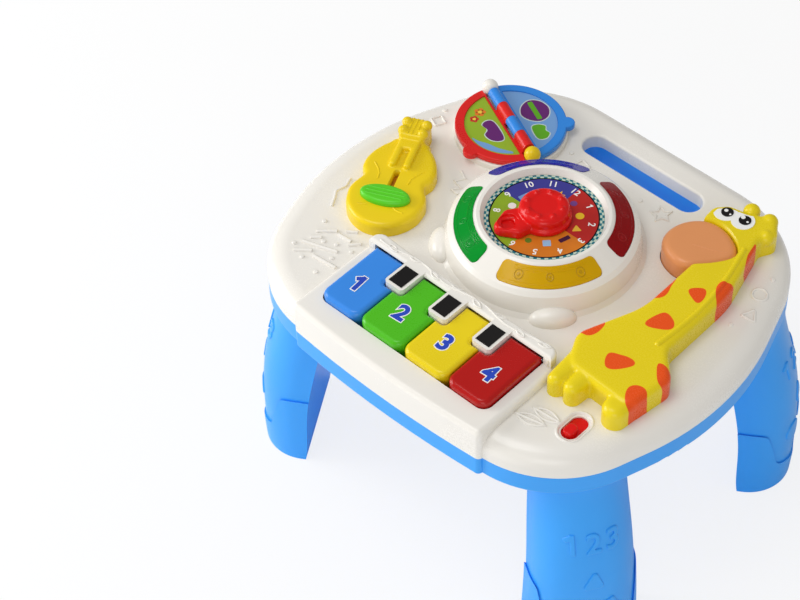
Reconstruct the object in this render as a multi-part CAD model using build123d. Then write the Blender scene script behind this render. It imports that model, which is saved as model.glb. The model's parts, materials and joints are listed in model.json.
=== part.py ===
from build123d import *
import os
from math import atan2, cos, degrees, hypot, radians, sin

# Toddler's activity table in millimetres. Origin on the floor under the middle of the table,
# X to the child's right, Y away from the child, Z up. "Above the deck" heights are added to DECK_Z.

# Heights and walls of the housing
DECK_Z = 208.0
SHELL_DEPTH = 20.0
TRAY_DEPTH = 18.0
SKIN = 2.5
EDGE_ROUND = 12.0
PLATEAU_INSET = 16.0
PLATEAU_STEP = 1.0
PLATEAU_ROUND = 0.8
TRAY_ROUND = 3.0
SEAT_GAP = 0.2
RUN_GAP = 0.5
PIN_GAP = 0.05
EMBED = 0.5
BLIND_END = 1.0

# Top view of the table: six corners from the right rear round to the left rear, and their rounding
BODY_CORNERS = [(138.0, 157.0), (191.5, -5.0), (142.5, -150.0), (-142.5, -150.0), (-196.0, -5.0),
                (-127.0, 157.0)]
BODY_ROUNDS = [92.0, 210.0, 84.0, 84.0, 210.0, 100.0]

# Carrying handle slot behind the clock
SLOT_CENTRE = (6.5, 118.7)
SLOT_LENGTH = 110.0
SLOT_WIDTH = 21.5
SLOT_LIP = 2.0
SLOT_WHITE_DEPTH = 12.0

# Piano: raised block with four keys, a ridge behind them and three black tabs between them
PIANO_HALF = 88.5
PIANO_BACK = -69.0
PIANO_CORNER_Y = -153.0
PIANO_BOW = 4.0
PIANO_CORNER_ROUND = 4.0
PIANO_LEDGE = 7.5
PIANO_EDGE_ROUND = 4.0
RIDGE_HEIGHT = 17.0
RIDGE_HALF = 86.0
RIDGE_DEPTH = 11.5
RIDGE_END_ROUND = 8.0
RIDGE_SAG = 3.0
RIDGE_ROUND = 2.8
KEY_BACK = -77.5
KEY_FRONT = -136.0
KEY_PITCH = 41.0
KEY_OUTER_WIDTH = 37.0
KEY_TOP = 15.0
KEY_SLOPE = 1.5
KEY_WALL = 2.2
KEY_SKIRT = 20.0
KEY_FRONT_ROUND = 8.0
KEY_TOP_ROUND = 3.5
KEY_GAP = 0.5
TAB_WIDTH = 17.0
TAB_LENGTH = 22.5
TAB_ROUND = 3.0
TAB_RIM = 2.4
STICKER = 0.4
PIVOT_Y = -75.0
PIVOT_HEIGHT = 6.5
PIVOT_RADIUS = 1.5
EAR_RADIUS = 3.0
EAR_WIDTH = 14.0
SADDLE = 2.0
PLUNGER_Y = -112.0
PLUNGER_RADIUS = 3.0
DOME_RADIUS = 6.0
DOME_HEIGHT = 7.0
DOME_WALL = 1.0
BOARD = 1.6
KEY_BOARD_DROP = 13.0
KEY_BOARD_WIDTH = 150.0
KEY_BOARD_BACK = -98.0

# Clock: round plinth with four light windows, printed dial and turning pointer
CLOCK = (0.0, 14.0)
DIAL_RADIUS = 43.2
DIAL_HEIGHT = 27.0
DIAL_THICK = 1.4
CREST_RADIUS = 48.6
CREST_HEIGHT = 31.5
SLOPE_RADIUS = 66.5
SLOPE_HEIGHT = 20.5
SHOULDER = 3.0
SKIRT_RADIUS = 72.0
FLARE = 3.0
WINDOW_INNER = 51.0
WINDOW_OUTER = 65.0
WINDOW_GAP_DEG = 8.3
WINDOW_PROUD = 0.6
WINDOW_CORNER = 4.0
WINDOW_FLANGE = 1.4
WINDOW_FLANGE_THICK = 1.4
WINDOW_POST_RADIUS = 3.2
WINDOW_POST_DEG = 25.0
LIGHT_BOARD_HEIGHT = 3.0
LIGHT_BOARD_INNER = 47.0
LIGHT_BOARD_OUTER = 67.0
LED_RADIUS = 2.5
LED_HEIGHT = 8.6
FOOT_RADIUS = 73.5
FOOT_HALF_LENGTH = 17.0
FOOT_HALF_WIDTH = 9.5
FOOT_DEG = 46.0
HUB_RADIUS = 18.6
HUB_FLANGE_RADIUS = 20.0
HUB_FLANGE = 4.0
HUB_TOP = 41.0
HUB_ROUND = 3.0
HUB_FLANGE_ROUND = 1.0
BUMP_RADIUS = 2.0
BUMP_COUNT = 8
POINTER_TIP = 42.0
POINTER_BARB = 27.0
POINTER_HALF = 12.5
POINTER_NECK_HALF = 6.0
POINTER_THICK = 8.0
POINTER_DEG = 247.0
POINTER_ROUND = 1.6
BARB_BACK = 7.0
BARB_FRONT = 5.0
BARB_BENDS = [2.0, 2.0, 4.0, 6.0, 6.0, 6.0, 4.0, 2.0, 2.0]
DIMPLE_AT = 30.0
DIMPLE_RADIUS = 5.6
DIMPLE_DEPTH = 5.0
SHAFT_RADIUS = 6.0
SHAFT_BOSS = 8.0
WASHER_RADIUS = 9.0
WASHER_THICK = 1.2

# Flip book: round base and two half pages on one hinge bar
BOOK = (-95.0, 85.5)
BOOK_DEG = -25.2
BOOK_BASE_RADIUS = 43.5
BOOK_BASE_HEIGHT = 5.5
BOOK_BASE_ROUND = 1.5
PAGE_RADIUS = 42.5
PAGE_THICK = 5.0
PAGE_RIM = 7.0
PAGE_PANEL = 2.4
PAGE_GAP = 0.3
PAGE_TAB_RADIUS = 6.0
PAGE_EDGE = 1.2
PAGE_TAB_DEG = 68.0
PAGE_HINGE_RIM = 2.0
PRINT = 0.4
HINGE_HEIGHT = 12.8
KNUCKLE_RADIUS = 4.6
KNUCKLE_COUNT = 4
HINGE_PIN_RADIUS = 1.5
BALL_RADIUS = 6.2
BALL_AT = 40.3
BALL_POST_RADIUS = 4.0

# Guitar: body of two bouts, neck with two prongs, head with pegs, oval slider
GUITAR = (-109.0, -37.0)
GUITAR_DEG = 115.0
LOWER_BOUT = 29.5
UPPER_BOUT = 27.5
BOUT_STEP = 32.0
GUITAR_TOP = 12.0
GUITAR_ROUND = 4.0
GUITAR_SLOT_START = -4.5
GUITAR_SLOT_END = 30.0
GUITAR_SLOT_WIDTH = 4.6
PRONG_END = 31.0
PRONG_WIDTH = 5.6
PRONG_RISE = 4.0
NECK_WIDTH = 15.2
NECK_START = 47.0
HEAD_START = 59.0
HEAD_END = 81.0
HEAD_WIDTH = 21.0
HEAD_TOP = 20.0
HEAD_ROUND = 2.5
PEG_RADIUS = 3.6
PEG_INSET = 5.5
PEG_PROUD = 0.6
NECK_DROP = 2.0
NECK_LAP = 1.0
STRING_STEP = 3.0
STRING_WIDTH = 1.0
STRING_RISE = 0.7
SLIDER_LENGTH = 38.0
SLIDER_WIDTH = 19.0
SLIDER_THICK = 4.5
SLIDER_STEM = 7.0
KEEPER = (12.0, 9.0, 2.0)
KEEPER_BITE = 3.0

# Giraffe: tall flat figure with a press button for a muzzle
GIRAFFE_TOP = 19.0
GIRAFFE_ROUND = 4.5
GIRAFFE_FEET_TOP = 14.0
GIRAFFE_FEET_ROUND = 3.5
GIRAFFE_CORNERS = [(78.5, 100), (77.5, 112), (86, 121), (101, 124), (120, 134), (130.5, 119), (124, 107),
                   (139, 52), (139.5, -17), (158.5, -37), (153, -76), (96, -73), (82.5, -47), (101.5, 2),
                   (101, 56), (92, 84)]
GIRAFFE_BENDS = [3, 8, 8, 14, 5.5, 7, 5, 90, 15, 10, 11, 12, 14, 60, 4, 4]
GIRAFFE_FEET = [(97.0, 12.5, -91.0), (110.5, 13.0, -90.0), (143.5, 18.5, -87.5)]
FOOT_BACK = -66.0
HORNS = [(100.0, 129.5), (116.0, 129.0)]
HORN_RADIUS = 6.2
HORN_HEIGHT = 14.0
EAR = (123.5, 115.0)
EAR_BALL_RADIUS = 6.0
EYES = [(89.9, 112.4), (104.5, 114.2)]
EYE_WHITES = [(88.6, 111.8, 8.8), (103.4, 113.2, 8.8)]
EYE_THICK = 0.5
PUPIL_RADIUS = 4.6
MUZZLE = [(66.5, 73.0), (70.5, 61.5), (82.0, 53.8), (96.5, 53.0), (110.5, 64.5), (120.0, 80.0),
          (116.0, 91.0), (105.0, 98.5), (92.0, 101.5), (79.0, 98.0), (69.5, 87.0)]
MUZZLE_MID = (91.0, 75.0)
MUZZLE_TOP = 17.0
MUZZLE_ROUND = 5.0
MUZZLE_FLANGE = 1.6
MUZZLE_FLANGE_WIDTH = 2.0

# On-off switch
SWITCH = (127.3, -100.4)
SWITCH_SLOT = (12.8, 22.4)
SWITCH_WELL = 1.0
SWITCH_WELL_RIM = 2.0
SWITCH_KNOB = (8.0, 10.5)
SWITCH_RISE = 2.6
SWITCH_ROUND = 1.2
SWITCH_PLATE = (13.6, 31.6, 1.6)
SWITCH_TRAVEL = 9.0
SWITCH_BODY = (12.0, 24.0, 8.0)

# Legs: four identical hollow shells with a round outer side and a flat back, open at the foot.
# A station is a height, half the width, the reach outwards and the depth towards the table's middle.
LEG_CENTRE = (135.0, 100.5)
LEG_SHIFT_Y = 3.0
LEG_DEG = 32.2
LEG_WALL = 2.6
LEG_CORNER = 33.0
LEG_STATIONS = [(0.0, 41.5, 37.0, 0.0), (40.0, 39.8, 38.0, 2.8), (70.0, 38.2, 36.5, 6.0),
                (100.0, 36.6, 32.0, 12.0), (130.0, 35.0, 24.5, 17.5), (170.0, 34.0, 17.0, 20.0)]
BOOT_PROUD = 1.4
BOOT_TOP = 66.0
BOOT_SHOULDER = 37.5
BOOT_CHEEK = (33.5, 27.0)
BOOT_TOE = 14.0
BOOT_BENDS = [1.0, 6.0, 8.0, 20.0, 8.0, 6.0, 1.0, 1.0, 1.0]
LEG_CAP = 4.0
TENON = (40.0, 14.0, 15.0)
TENON_WALL = 2.5

# Inside the housing
SPEAKER = (-72.0, 34.0)
SPEAKER_RADIUS = 25.0
SPEAKER_DEPTH = 18.0
SPEAKER_RIM = 1.6
SPEAKER_RIM_WIDTH = 4.0
BASKET = 1.0
BASKET_SHARE = 0.6
THROAT_SHARE = 0.5
CONE_LIFT = 1.4
CONE_CLEAR = 5.0
MAGNET_ROUND = 1.0
GRILLE_HOLE = 2.0
CONE_PAPER = 0.6
GRILLE_RINGS = [(0.0, 1), (7.5, 6), (15.0, 12)]
BATTERY = (0.0, -24.0)
CELL_RADIUS = 7.2
CELL_LENGTH = 50.0
CELL_COUNT = 3
CELL_PITCH = 15.4
BATTERY_WALL = 2.0
BATTERY_END = 2.4
CONTACT = 0.5
CONTACT_RADIUS = 3.0
DOOR_TAB = (14.0, 11.0)
MAIN_BOARD = (108.0, 51.0)
MAIN_BOARD_SIZE = (60.0, 124.0)
MAIN_BOARD_DROP = 14.0
CHIP = (22.0, 22.0, 2.4)
CHIP_AT = (118.0, 30.0)

# Screws
SCREW_RADIUS = 1.5
SCREW_HEAD_RADIUS = 3.0
SCREW_HEAD = 2.0
SCREW_LENGTH = 11.0
BOSS_RADIUS = 4.2
CASE_PAD = 5.0
CASE_SCREWS = [(160.0, 5.0), (-160.0, 5.0), (100.0, -134.0), (-100.0, -134.0), (84.0, 141.0), (-84.0, 141.0)]
GIRAFFE_SCREWS = [(108.0, 112.0), (118.0, 16.0), (120.0, -58.0)]
GUITAR_SCREWS_AT = [-18.0, 44.0]
BOOK_SCREWS_AT = [-20.0, 20.0]

SPLIT_Z = DECK_Z - SHELL_DEPTH
TRAY_Z = SPLIT_Z - TRAY_DEPTH
TRAY_FLOOR = TRAY_Z + SKIN
DECK_UNDER = DECK_Z - SKIN
SLOT_SPLIT_Z = DECK_Z - SLOT_WHITE_DEPTH


def prism(face, low, high):
    """Raise a face drawn on the floor plane into a solid between two heights."""
    return extrude(Pos(0, 0, low) * face, amount=high - low)


def post(place, radius, low, high):
    """Upright cylinder between two heights."""
    return Pos(place[0], place[1], (low + high) / 2) * Cylinder(radius, high - low)


def block(place, size, low, high):
    """Upright box between two heights."""
    return Pos(place[0], place[1], (low + high) / 2) * Box(size[0], size[1], high - low)


def turned(points, place):
    """Turn a profile of (radius, height) points about an upright axis."""
    outline = make_face(Polyline([(r, 0, z) for r, z in points], close=True))
    return Pos(place[0], place[1], 0) * revolve(outline, Axis.Z)


def rounded_top(solid, radius):
    """Round the edges of a solid's highest face."""
    return fillet(solid.edges().group_by(Axis.Z)[-1], radius)


def softened(solid, radius):
    """Round the edges of a solid's highest and lowest faces."""
    levels = solid.edges().group_by(Axis.Z)
    return fillet(levels[0] + levels[-1], radius)


def polar(place, distance, angle):
    """Point at a distance and angle from a place."""
    return (place[0] + distance * cos(radians(angle)), place[1] + distance * sin(radians(angle)))


def screw(place, seat, length=SCREW_LENGTH):
    """Pan-head screw driven upwards, its head under the seat height."""
    head = post(place, SCREW_HEAD_RADIUS, seat - SCREW_HEAD, seat)
    return head + post(place, SCREW_RADIUS, seat, seat + length)


def screw_hole(place, low, high):
    """Clearance hole that holds a screw's shank."""
    return post(place, SCREW_RADIUS + PIN_GAP, low, high)


# Outlines

def body_outline(inset=0.0):
    """Top view of the table without the piano's front."""
    face = make_face(FilletPolyline(BODY_CORNERS, radius=BODY_ROUNDS, close=True))
    return offset(face, amount=-inset) if inset else face


def piano_outline(inset=0.0):
    """Top view of the piano block, with its bowed front."""
    half = PIANO_HALF
    front = ThreePointArc((-half, PIANO_CORNER_Y), (0, PIANO_CORNER_Y - PIANO_BOW), (half, PIANO_CORNER_Y))
    back = Polyline((half, PIANO_CORNER_Y), (half, PIANO_BACK), (-half, PIANO_BACK), (-half, PIANO_CORNER_Y))
    face = make_face([front, back])
    face = fillet(face.vertices().group_by(Axis.Y)[0], PIANO_CORNER_ROUND)
    return offset(face, amount=-inset) if inset else face


def slot_outline(outset=0.0):
    """Handle slot with round ends."""
    return Pos(*SLOT_CENTRE) * SlotOverall(SLOT_LENGTH + 2 * outset, SLOT_WIDTH + 2 * outset)


def slot_lip(shell):
    """Edges round the top of the handle slot."""
    far = SLOT_WIDTH / 2 + SKIN
    level = [edge for edge in shell.edges() if abs(edge.center().Z - DECK_Z) < PIN_GAP]
    return [edge for edge in level if abs(edge.center().Y - SLOT_CENTRE[1]) < far
            and abs(edge.center().X - SLOT_CENTRE[0]) < SLOT_LENGTH / 2]


def ridge_outline(inset=0.0):
    """Bar behind the keys, whose back bends forward round the clock."""
    half = RIDGE_HALF - inset
    back = KEY_BACK + RIDGE_DEPTH - inset
    arc = ThreePointArc((half, back), (0, back - RIDGE_SAG), (-half, back))
    rest = Polyline((-half, back), (-half, KEY_BACK), (half, KEY_BACK), (half, back))
    face = make_face([arc, rest])
    corners = [vertex for vertex in face.vertices() if vertex.Y > KEY_BACK + 1]
    return fillet(corners, RIDGE_END_ROUND - inset)


def muzzle_outline(outset=0.0):
    """Drop shape of the muzzle, moved outwards from its middle."""
    points = []
    for x, y in MUZZLE:
        dx = x - MUZZLE_MID[0]
        dy = y - MUZZLE_MID[1]
        stretch = 1 + outset / hypot(dx, dy)
        points.append((MUZZLE_MID[0] + dx * stretch, MUZZLE_MID[1] + dy * stretch))
    return make_face(Spline(points, periodic=True))


def guitar_frame():
    """Frame with X along the guitar from its lower bout to its head."""
    return Location((GUITAR[0], GUITAR[1], 0), (0, 0, GUITAR_DEG))


def guitar_outline(inset=0.0):
    """Two overlapping round bouts."""
    lower = Circle(LOWER_BOUT - inset)
    upper = Pos(BOUT_STEP, 0) * Circle(UPPER_BOUT - inset)
    return guitar_frame() * (lower + upper)


def book_frame():
    """Frame with X along the flip book's hinge bar, from the white ball to the yellow one."""
    return Location((BOOK[0], BOOK[1], 0), (0, 0, BOOK_DEG))


def leg_frame(side_x, side_y):
    """Frame of one leg: X outwards across the leg, Y along its width."""
    angle = degrees(atan2(side_y * sin(radians(LEG_DEG)), side_x * cos(radians(LEG_DEG))))
    return Location((side_x * LEG_CENTRE[0], LEG_SHIFT_Y + side_y * LEG_CENTRE[1], 0), (0, 0, angle))


LEG_SIDES = {"right_rear": (1, 1), "left_rear": (-1, 1), "left_front": (-1, -1), "right_front": (1, -1)}


# Keys

def key_spans():
    """Left and right edge of each key, from left to right."""
    outer = KEY_PITCH + KEY_OUTER_WIDTH
    edges = [-outer, -KEY_PITCH, 0.0, KEY_PITCH, outer]
    return [(left + KEY_GAP, right - KEY_GAP) for left, right in zip(edges, edges[1:])]


TAB_XS = [-KEY_PITCH, 0.0, KEY_PITCH]
PIVOT_Z = DECK_Z + PIVOT_HEIGHT


def tab_outline(x, outset=0.0):
    """Tongue between two keys that carries a black sticker."""
    width = TAB_WIDTH + 2 * outset
    length = TAB_LENGTH + outset
    face = Pos(x, KEY_BACK - length / 2) * Rectangle(width, length)
    return fillet(face.vertices().group_by(Axis.Y)[0], TAB_ROUND)


def key_outline(left, right, inset=0.0):
    """Key seen from above: rounded front corners, notched where the tabs stand."""
    length = KEY_BACK - KEY_FRONT
    middle = ((left + right) / 2, (KEY_BACK + KEY_FRONT) / 2)
    face = Pos(*middle) * Rectangle(right - left - 2 * inset, length - 2 * inset)
    face = fillet(face.vertices().group_by(Axis.Y)[0], KEY_FRONT_ROUND - inset)
    for x in TAB_XS:
        face -= tab_outline(x, RUN_GAP + inset)
    return face


def key_tilt():
    """Slope of the key tops, falling towards the child."""
    pivot = Location((0, PIVOT_Y, PIVOT_Z))
    return pivot * Location((0, 0, 0), (KEY_SLOPE, 0, 0)) * pivot.inverse()


def make_key(left, right):
    """Hollow key cap with an ear on the pivot rod and a plunger over its contact dome."""
    top = DECK_Z + KEY_TOP
    low = top - KEY_SKIRT
    middle = (left + right) / 2
    tabs = [x for x in TAB_XS if left - TAB_WIDTH < x < right + TAB_WIDTH]
    stem_left = max([left] + [x + TAB_WIDTH / 2 + RUN_GAP for x in tabs if x < middle])
    stem_right = min([right] + [x - TAB_WIDTH / 2 - RUN_GAP for x in tabs if x > middle])
    stem = (stem_left + stem_right) / 2
    cap = rounded_top(prism(key_outline(left, right), low, top), KEY_TOP_ROUND)
    cap -= prism(key_outline(left, right, KEY_WALL), low, top - KEY_WALL)
    ear = Pos(stem, PIVOT_Y, PIVOT_Z) * Rot(0, 90, 0) * Cylinder(EAR_RADIUS, EAR_WIDTH)
    web_back = KEY_BACK - KEY_WALL
    ear += Pos(stem, (web_back + PIVOT_Y) / 2, PIVOT_Z) * Box(EAR_WIDTH, PIVOT_Y - web_back, EAR_RADIUS)
    plunger = post((middle, PLUNGER_Y), PLUNGER_RADIUS, plunger_low(), top - KEY_WALL)
    key = key_tilt() * (cap + ear) + plunger
    return key - Pos(stem, PIVOT_Y, PIVOT_Z) * Rot(0, 90, 0) * Cylinder(PIVOT_RADIUS + PIN_GAP, EAR_WIDTH * 2)


def key_board_top():
    """Height of the contact board's upper face."""
    return DECK_Z - KEY_BOARD_DROP


def plunger_low():
    """Lower end of a key's plunger, just above its rubber dome."""
    return key_board_top() + DOME_HEIGHT + PAGE_GAP


def dome(place, base):
    """Hollow rubber contact dome on a board."""
    top = base + DOME_HEIGHT
    small = DOME_RADIUS * 0.6
    outer = [(0, base), (DOME_RADIUS, base), (DOME_RADIUS, base + DOME_WALL), (small, top), (0, top)]
    inner = [(0, base), (DOME_RADIUS - DOME_WALL, base), (small - DOME_WALL, top - DOME_WALL * 2),
             (0, top - DOME_WALL * 2)]
    return turned(outer, place) - turned(inner, place)


def key_dome_places():
    """Middle of each key over the contact board."""
    return [((left + right) / 2, PLUNGER_Y) for left, right in key_spans()]


def make_key_board():
    """Contact board under the keys, with two screw holes."""
    top = key_board_top()
    front = key_board_posts()[0][1] - BOSS_RADIUS
    size = (KEY_BOARD_WIDTH, KEY_BOARD_BACK - front)
    board = block((0, (KEY_BOARD_BACK + front) / 2), size, top - BOARD, top)
    for place in key_board_posts():
        board -= screw_hole(place, top - BOARD, top)
    return board


def make_stickers():
    """Three black labels on the tabs."""
    top = DECK_Z + RIDGE_HEIGHT
    labels = []
    for x in TAB_XS:
        size = (TAB_WIDTH - 2 * TAB_RIM, TAB_LENGTH - 2 * TAB_RIM)
        labels.append(block((x, KEY_BACK - TAB_LENGTH / 2), size, top, top + STICKER))
    return labels


# Clock

def clock_profile(inset):
    """Profile of the clock's plinth at a depth below its outer skin."""
    drop = inset / SKIN * wall_drop()
    crest = CREST_RADIUS + inset * 0.3
    brow = SLOPE_RADIUS - inset * 0.3
    return [(crest, slope_z(crest) - drop),
            (brow, slope_z(brow) - drop),
            (SLOPE_RADIUS + SHOULDER - inset, DECK_Z + SLOPE_HEIGHT - SHOULDER - inset * 0.4),
            (SKIRT_RADIUS - inset, DECK_Z + FLARE - inset)]


def slope_z(radius):
    """Height of the sloping ring at a radius."""
    fall = (CREST_HEIGHT - SLOPE_HEIGHT) / (SLOPE_RADIUS - CREST_RADIUS)
    return DECK_Z + CREST_HEIGHT - (radius - CREST_RADIUS) * fall


def clock_plinth():
    """Solid of revolution under the clock, with the dial's seat in its top."""
    seat = DECK_Z + DIAL_HEIGHT - DIAL_THICK
    rim = [(DIAL_RADIUS + SEAT_GAP, seat), (DIAL_RADIUS + SEAT_GAP, DECK_Z + DIAL_HEIGHT + 0.3),
           (CREST_RADIUS - 2.5, DECK_Z + CREST_HEIGHT)]
    skirt = [(SKIRT_RADIUS + FLARE, DECK_Z), (SKIRT_RADIUS + FLARE, DECK_UNDER), (0, DECK_UNDER), (0, seat)]
    return turned(rim + clock_profile(0) + skirt, CLOCK)


def clock_hollow():
    """Space inside the plinth."""
    seat = DECK_Z + DIAL_HEIGHT - DIAL_THICK - SKIN
    low = DECK_UNDER - SKIN
    inner = CREST_RADIUS - 5.0
    skirt = [(SKIRT_RADIUS - SKIN, low), (0, low)]
    return turned([(0, seat), (inner, seat)] + clock_profile(SKIN) + skirt, CLOCK)


def window_sector(inner, outer, gap_deg, corner):
    """One quarter of a ring seen from above, with rounded corners."""
    span = 90 - 2 * gap_deg
    near = CenterArc((0, 0), inner, gap_deg, span)
    far = CenterArc((0, 0), outer, gap_deg, span)
    face = make_face([near, far, Line(near @ 0, far @ 0), Line(near @ 1, far @ 1)])
    return fillet(face.vertices(), corner)


def window_band(inner, outer, above, below, gap_deg, quarter, corner=WINDOW_CORNER):
    """Part of the sloping ring between two radii, in one quarter of the clock."""
    profile = [(inner, 0, slope_z(inner) + above), (outer, 0, slope_z(outer) + above),
               (outer, 0, slope_z(outer) - below), (inner, 0, slope_z(inner) - below)]
    ring = revolve(make_face(Polyline(profile, close=True)), Axis.Z)
    sector = window_sector(inner, outer, gap_deg, corner)
    band = ring & prism(sector, slope_z(outer) - below, slope_z(inner) + above)
    return Location((CLOCK[0], CLOCK[1], 0), (0, 0, quarter * 90)) * band


def wall_drop():
    """Wall of the sloping ring measured straight down."""
    return SKIN / cos(atan2(CREST_HEIGHT - SLOPE_HEIGHT, SLOPE_RADIUS - CREST_RADIUS))


def window_openings():
    """Four curved openings in the sloping ring."""
    deep = wall_drop() + SKIN
    return [window_band(WINDOW_INNER, WINDOW_OUTER, SKIN, deep, WINDOW_GAP_DEG, quarter)
            for quarter in range(4)]


def window_posts(quarter):
    """Feet of two screw posts under one window."""
    middle = quarter * 90 + 45
    radius = (WINDOW_INNER + WINDOW_OUTER) / 2
    return [polar(CLOCK, radius, middle + side * WINDOW_POST_DEG) for side in (-1, 1)]


def make_window(quarter):
    """Clear window that fills one opening from below, with a flange and two screw posts."""
    board_top = DECK_Z + LIGHT_BOARD_HEIGHT + BOARD
    edge_deg = degrees(SEAT_GAP / WINDOW_INNER)
    flange_deg = degrees(WINDOW_FLANGE / WINDOW_OUTER)
    drop = wall_drop() + SEAT_GAP
    pane = window_band(WINDOW_INNER + SEAT_GAP, WINDOW_OUTER - SEAT_GAP, WINDOW_PROUD, drop,
                       WINDOW_GAP_DEG + edge_deg, quarter, WINDOW_CORNER - SEAT_GAP)
    flange = window_band(WINDOW_INNER - WINDOW_FLANGE, WINDOW_OUTER, -drop, drop + WINDOW_FLANGE_THICK,
                         WINDOW_GAP_DEG - flange_deg, quarter)
    window = pane + flange
    for place in window_posts(quarter):
        foot = post(place, WINDOW_POST_RADIUS, board_top, DECK_Z + SLOPE_HEIGHT)
        window += foot - screw_hole(place, board_top, board_top + SCREW_LENGTH)
    return window


def make_light_board():
    """Ring-shaped board under the windows."""
    low = DECK_Z + LIGHT_BOARD_HEIGHT
    ring = post(CLOCK, LIGHT_BOARD_OUTER, low, low + BOARD) - post(CLOCK, LIGHT_BOARD_INNER, low, low + BOARD)
    for quarter in range(4):
        for place in window_posts(quarter):
            ring -= screw_hole(place, low, low + BOARD)
    return ring


def make_light_screws():
    """Screws that hold the light board to the window posts."""
    seat = DECK_Z + LIGHT_BOARD_HEIGHT
    return [screw(place, seat) for quarter in range(4) for place in window_posts(quarter)]


def make_leds():
    """One lamp under the middle of each window."""
    low = DECK_Z + LIGHT_BOARD_HEIGHT + BOARD
    radius = (WINDOW_INNER + WINDOW_OUTER) / 2
    lamps = []
    for quarter in range(4):
        place = polar(CLOCK, radius, quarter * 90 + 45)
        barrel = post(place, LED_RADIUS, low, low + LED_HEIGHT - LED_RADIUS)
        lamps.append(barrel + Pos(place[0], place[1], low + LED_HEIGHT - LED_RADIUS) * Sphere(LED_RADIUS))
    return lamps


def make_dial():
    """Printed disc with a hole for the pointer's shaft."""
    top = DECK_Z + DIAL_HEIGHT
    low = top - DIAL_THICK
    return post(CLOCK, DIAL_RADIUS, low, top) - post(CLOCK, SHAFT_RADIUS + 1, low, top)


def make_pointer():
    """Round knob with studs on its rim and a barbed arm with a finger dimple."""
    low = DECK_Z + DIAL_HEIGHT + PAGE_GAP
    top = DECK_Z + HUB_TOP
    flange_top = low + HUB_FLANGE
    hub = rounded_top(post((0, 0), HUB_RADIUS, low, top), HUB_ROUND)
    hub += rounded_top(post((0, 0), HUB_FLANGE_RADIUS, low, flange_top), HUB_FLANGE_ROUND)
    for step in range(BUMP_COUNT):
        place = polar((0, 0), HUB_RADIUS - HUB_ROUND, 360 / BUMP_COUNT * step)
        hub += Pos(place[0], place[1], top - BUMP_RADIUS / 2) * Sphere(BUMP_RADIUS)
    neck = POINTER_NECK_HALF
    back = POINTER_BARB - BARB_BACK
    front = POINTER_BARB + BARB_FRONT
    head = [(0, -neck), (back, -neck), (back, -POINTER_HALF), (front, -POINTER_HALF), (POINTER_TIP, 0),
            (front, POINTER_HALF), (back, POINTER_HALF), (back, neck), (0, neck)]
    arm = prism(make_face(FilletPolyline(head, radius=BARB_BENDS, close=True)), low, low + POINTER_THICK)
    arm = rounded_top(arm, POINTER_ROUND)
    dimple = Pos(DIMPLE_AT, 0, low + POINTER_THICK - DIMPLE_DEPTH / 2) * Cylinder(DIMPLE_RADIUS, DIMPLE_DEPTH)
    shaft = post((0, 0), SHAFT_RADIUS, shaft_low(), low)
    knob = hub + (arm - dimple) + shaft
    knob -= screw_hole((0, 0), shaft_low(), shaft_low() + SCREW_LENGTH)
    return Location((CLOCK[0], CLOCK[1], 0), (0, 0, POINTER_DEG)) * knob


def boss_low():
    """Lower end of the pointer's bearing boss."""
    return DECK_Z + DIAL_HEIGHT - DIAL_THICK - SKIN - SHAFT_BOSS


def shaft_low():
    """Lower end of the pointer's shaft, a running gap below its bearing."""
    return boss_low() - PAGE_GAP


def make_washer():
    """Washer that keeps the pointer in its bearing."""
    high = shaft_low()
    ring = post(CLOCK, WASHER_RADIUS, high - WASHER_THICK, high)
    return ring - screw_hole(CLOCK, high - WASHER_THICK, high)


def make_pointer_screw():
    """Screw that holds the washer under the pointer's shaft."""
    return screw(CLOCK, shaft_low() - WASHER_THICK, SCREW_LENGTH)


# Housing

def inner_screw_places():
    """Places where figures are screwed to the deck from below."""
    return GIRAFFE_SCREWS + guitar_screws() + book_screws()


def guitar_screws():
    """Places of the guitar's screws."""
    return [guitar_point(along) for along in GUITAR_SCREWS_AT]


def book_screws():
    """Places of the flip book's screws."""
    return [book_point(along) for along in BOOK_SCREWS_AT]


def guitar_point(along):
    """Place on the guitar's axis."""
    return polar(GUITAR, along, GUITAR_DEG)


def book_point(along):
    """Place on the flip book's hinge line."""
    return polar(BOOK, along, BOOK_DEG)


def board_posts():
    """Places of the four posts that carry the main board."""
    half = (MAIN_BOARD_SIZE[0] / 2 - BOSS_RADIUS, MAIN_BOARD_SIZE[1] / 2 - BOSS_RADIUS)
    return [(MAIN_BOARD[0] + sx * half[0], MAIN_BOARD[1] + sy * half[1]) for sx in (-1, 1) for sy in (-1, 1)]


def key_board_posts():
    """Places of the two posts that carry the key board."""
    reach = KEY_BOARD_WIDTH / 2 - BOSS_RADIUS
    return [(side * reach, KEY_FRONT - RUN_GAP - BOSS_RADIUS) for side in (-1, 1)]


def figure_pads():
    """Level ground under the giraffe and the flip book where they reach over the plateau's edge."""
    low = DECK_Z - 2 * PLATEAU_STEP
    pads = prism(giraffe_face(-RUN_GAP), low, DECK_Z) + post(BOOK, BOOK_BASE_RADIUS + RUN_GAP, low, DECK_Z)
    for place in HORNS:
        pads += post(place, HORN_RADIUS, low, DECK_Z)
    return pads


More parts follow.
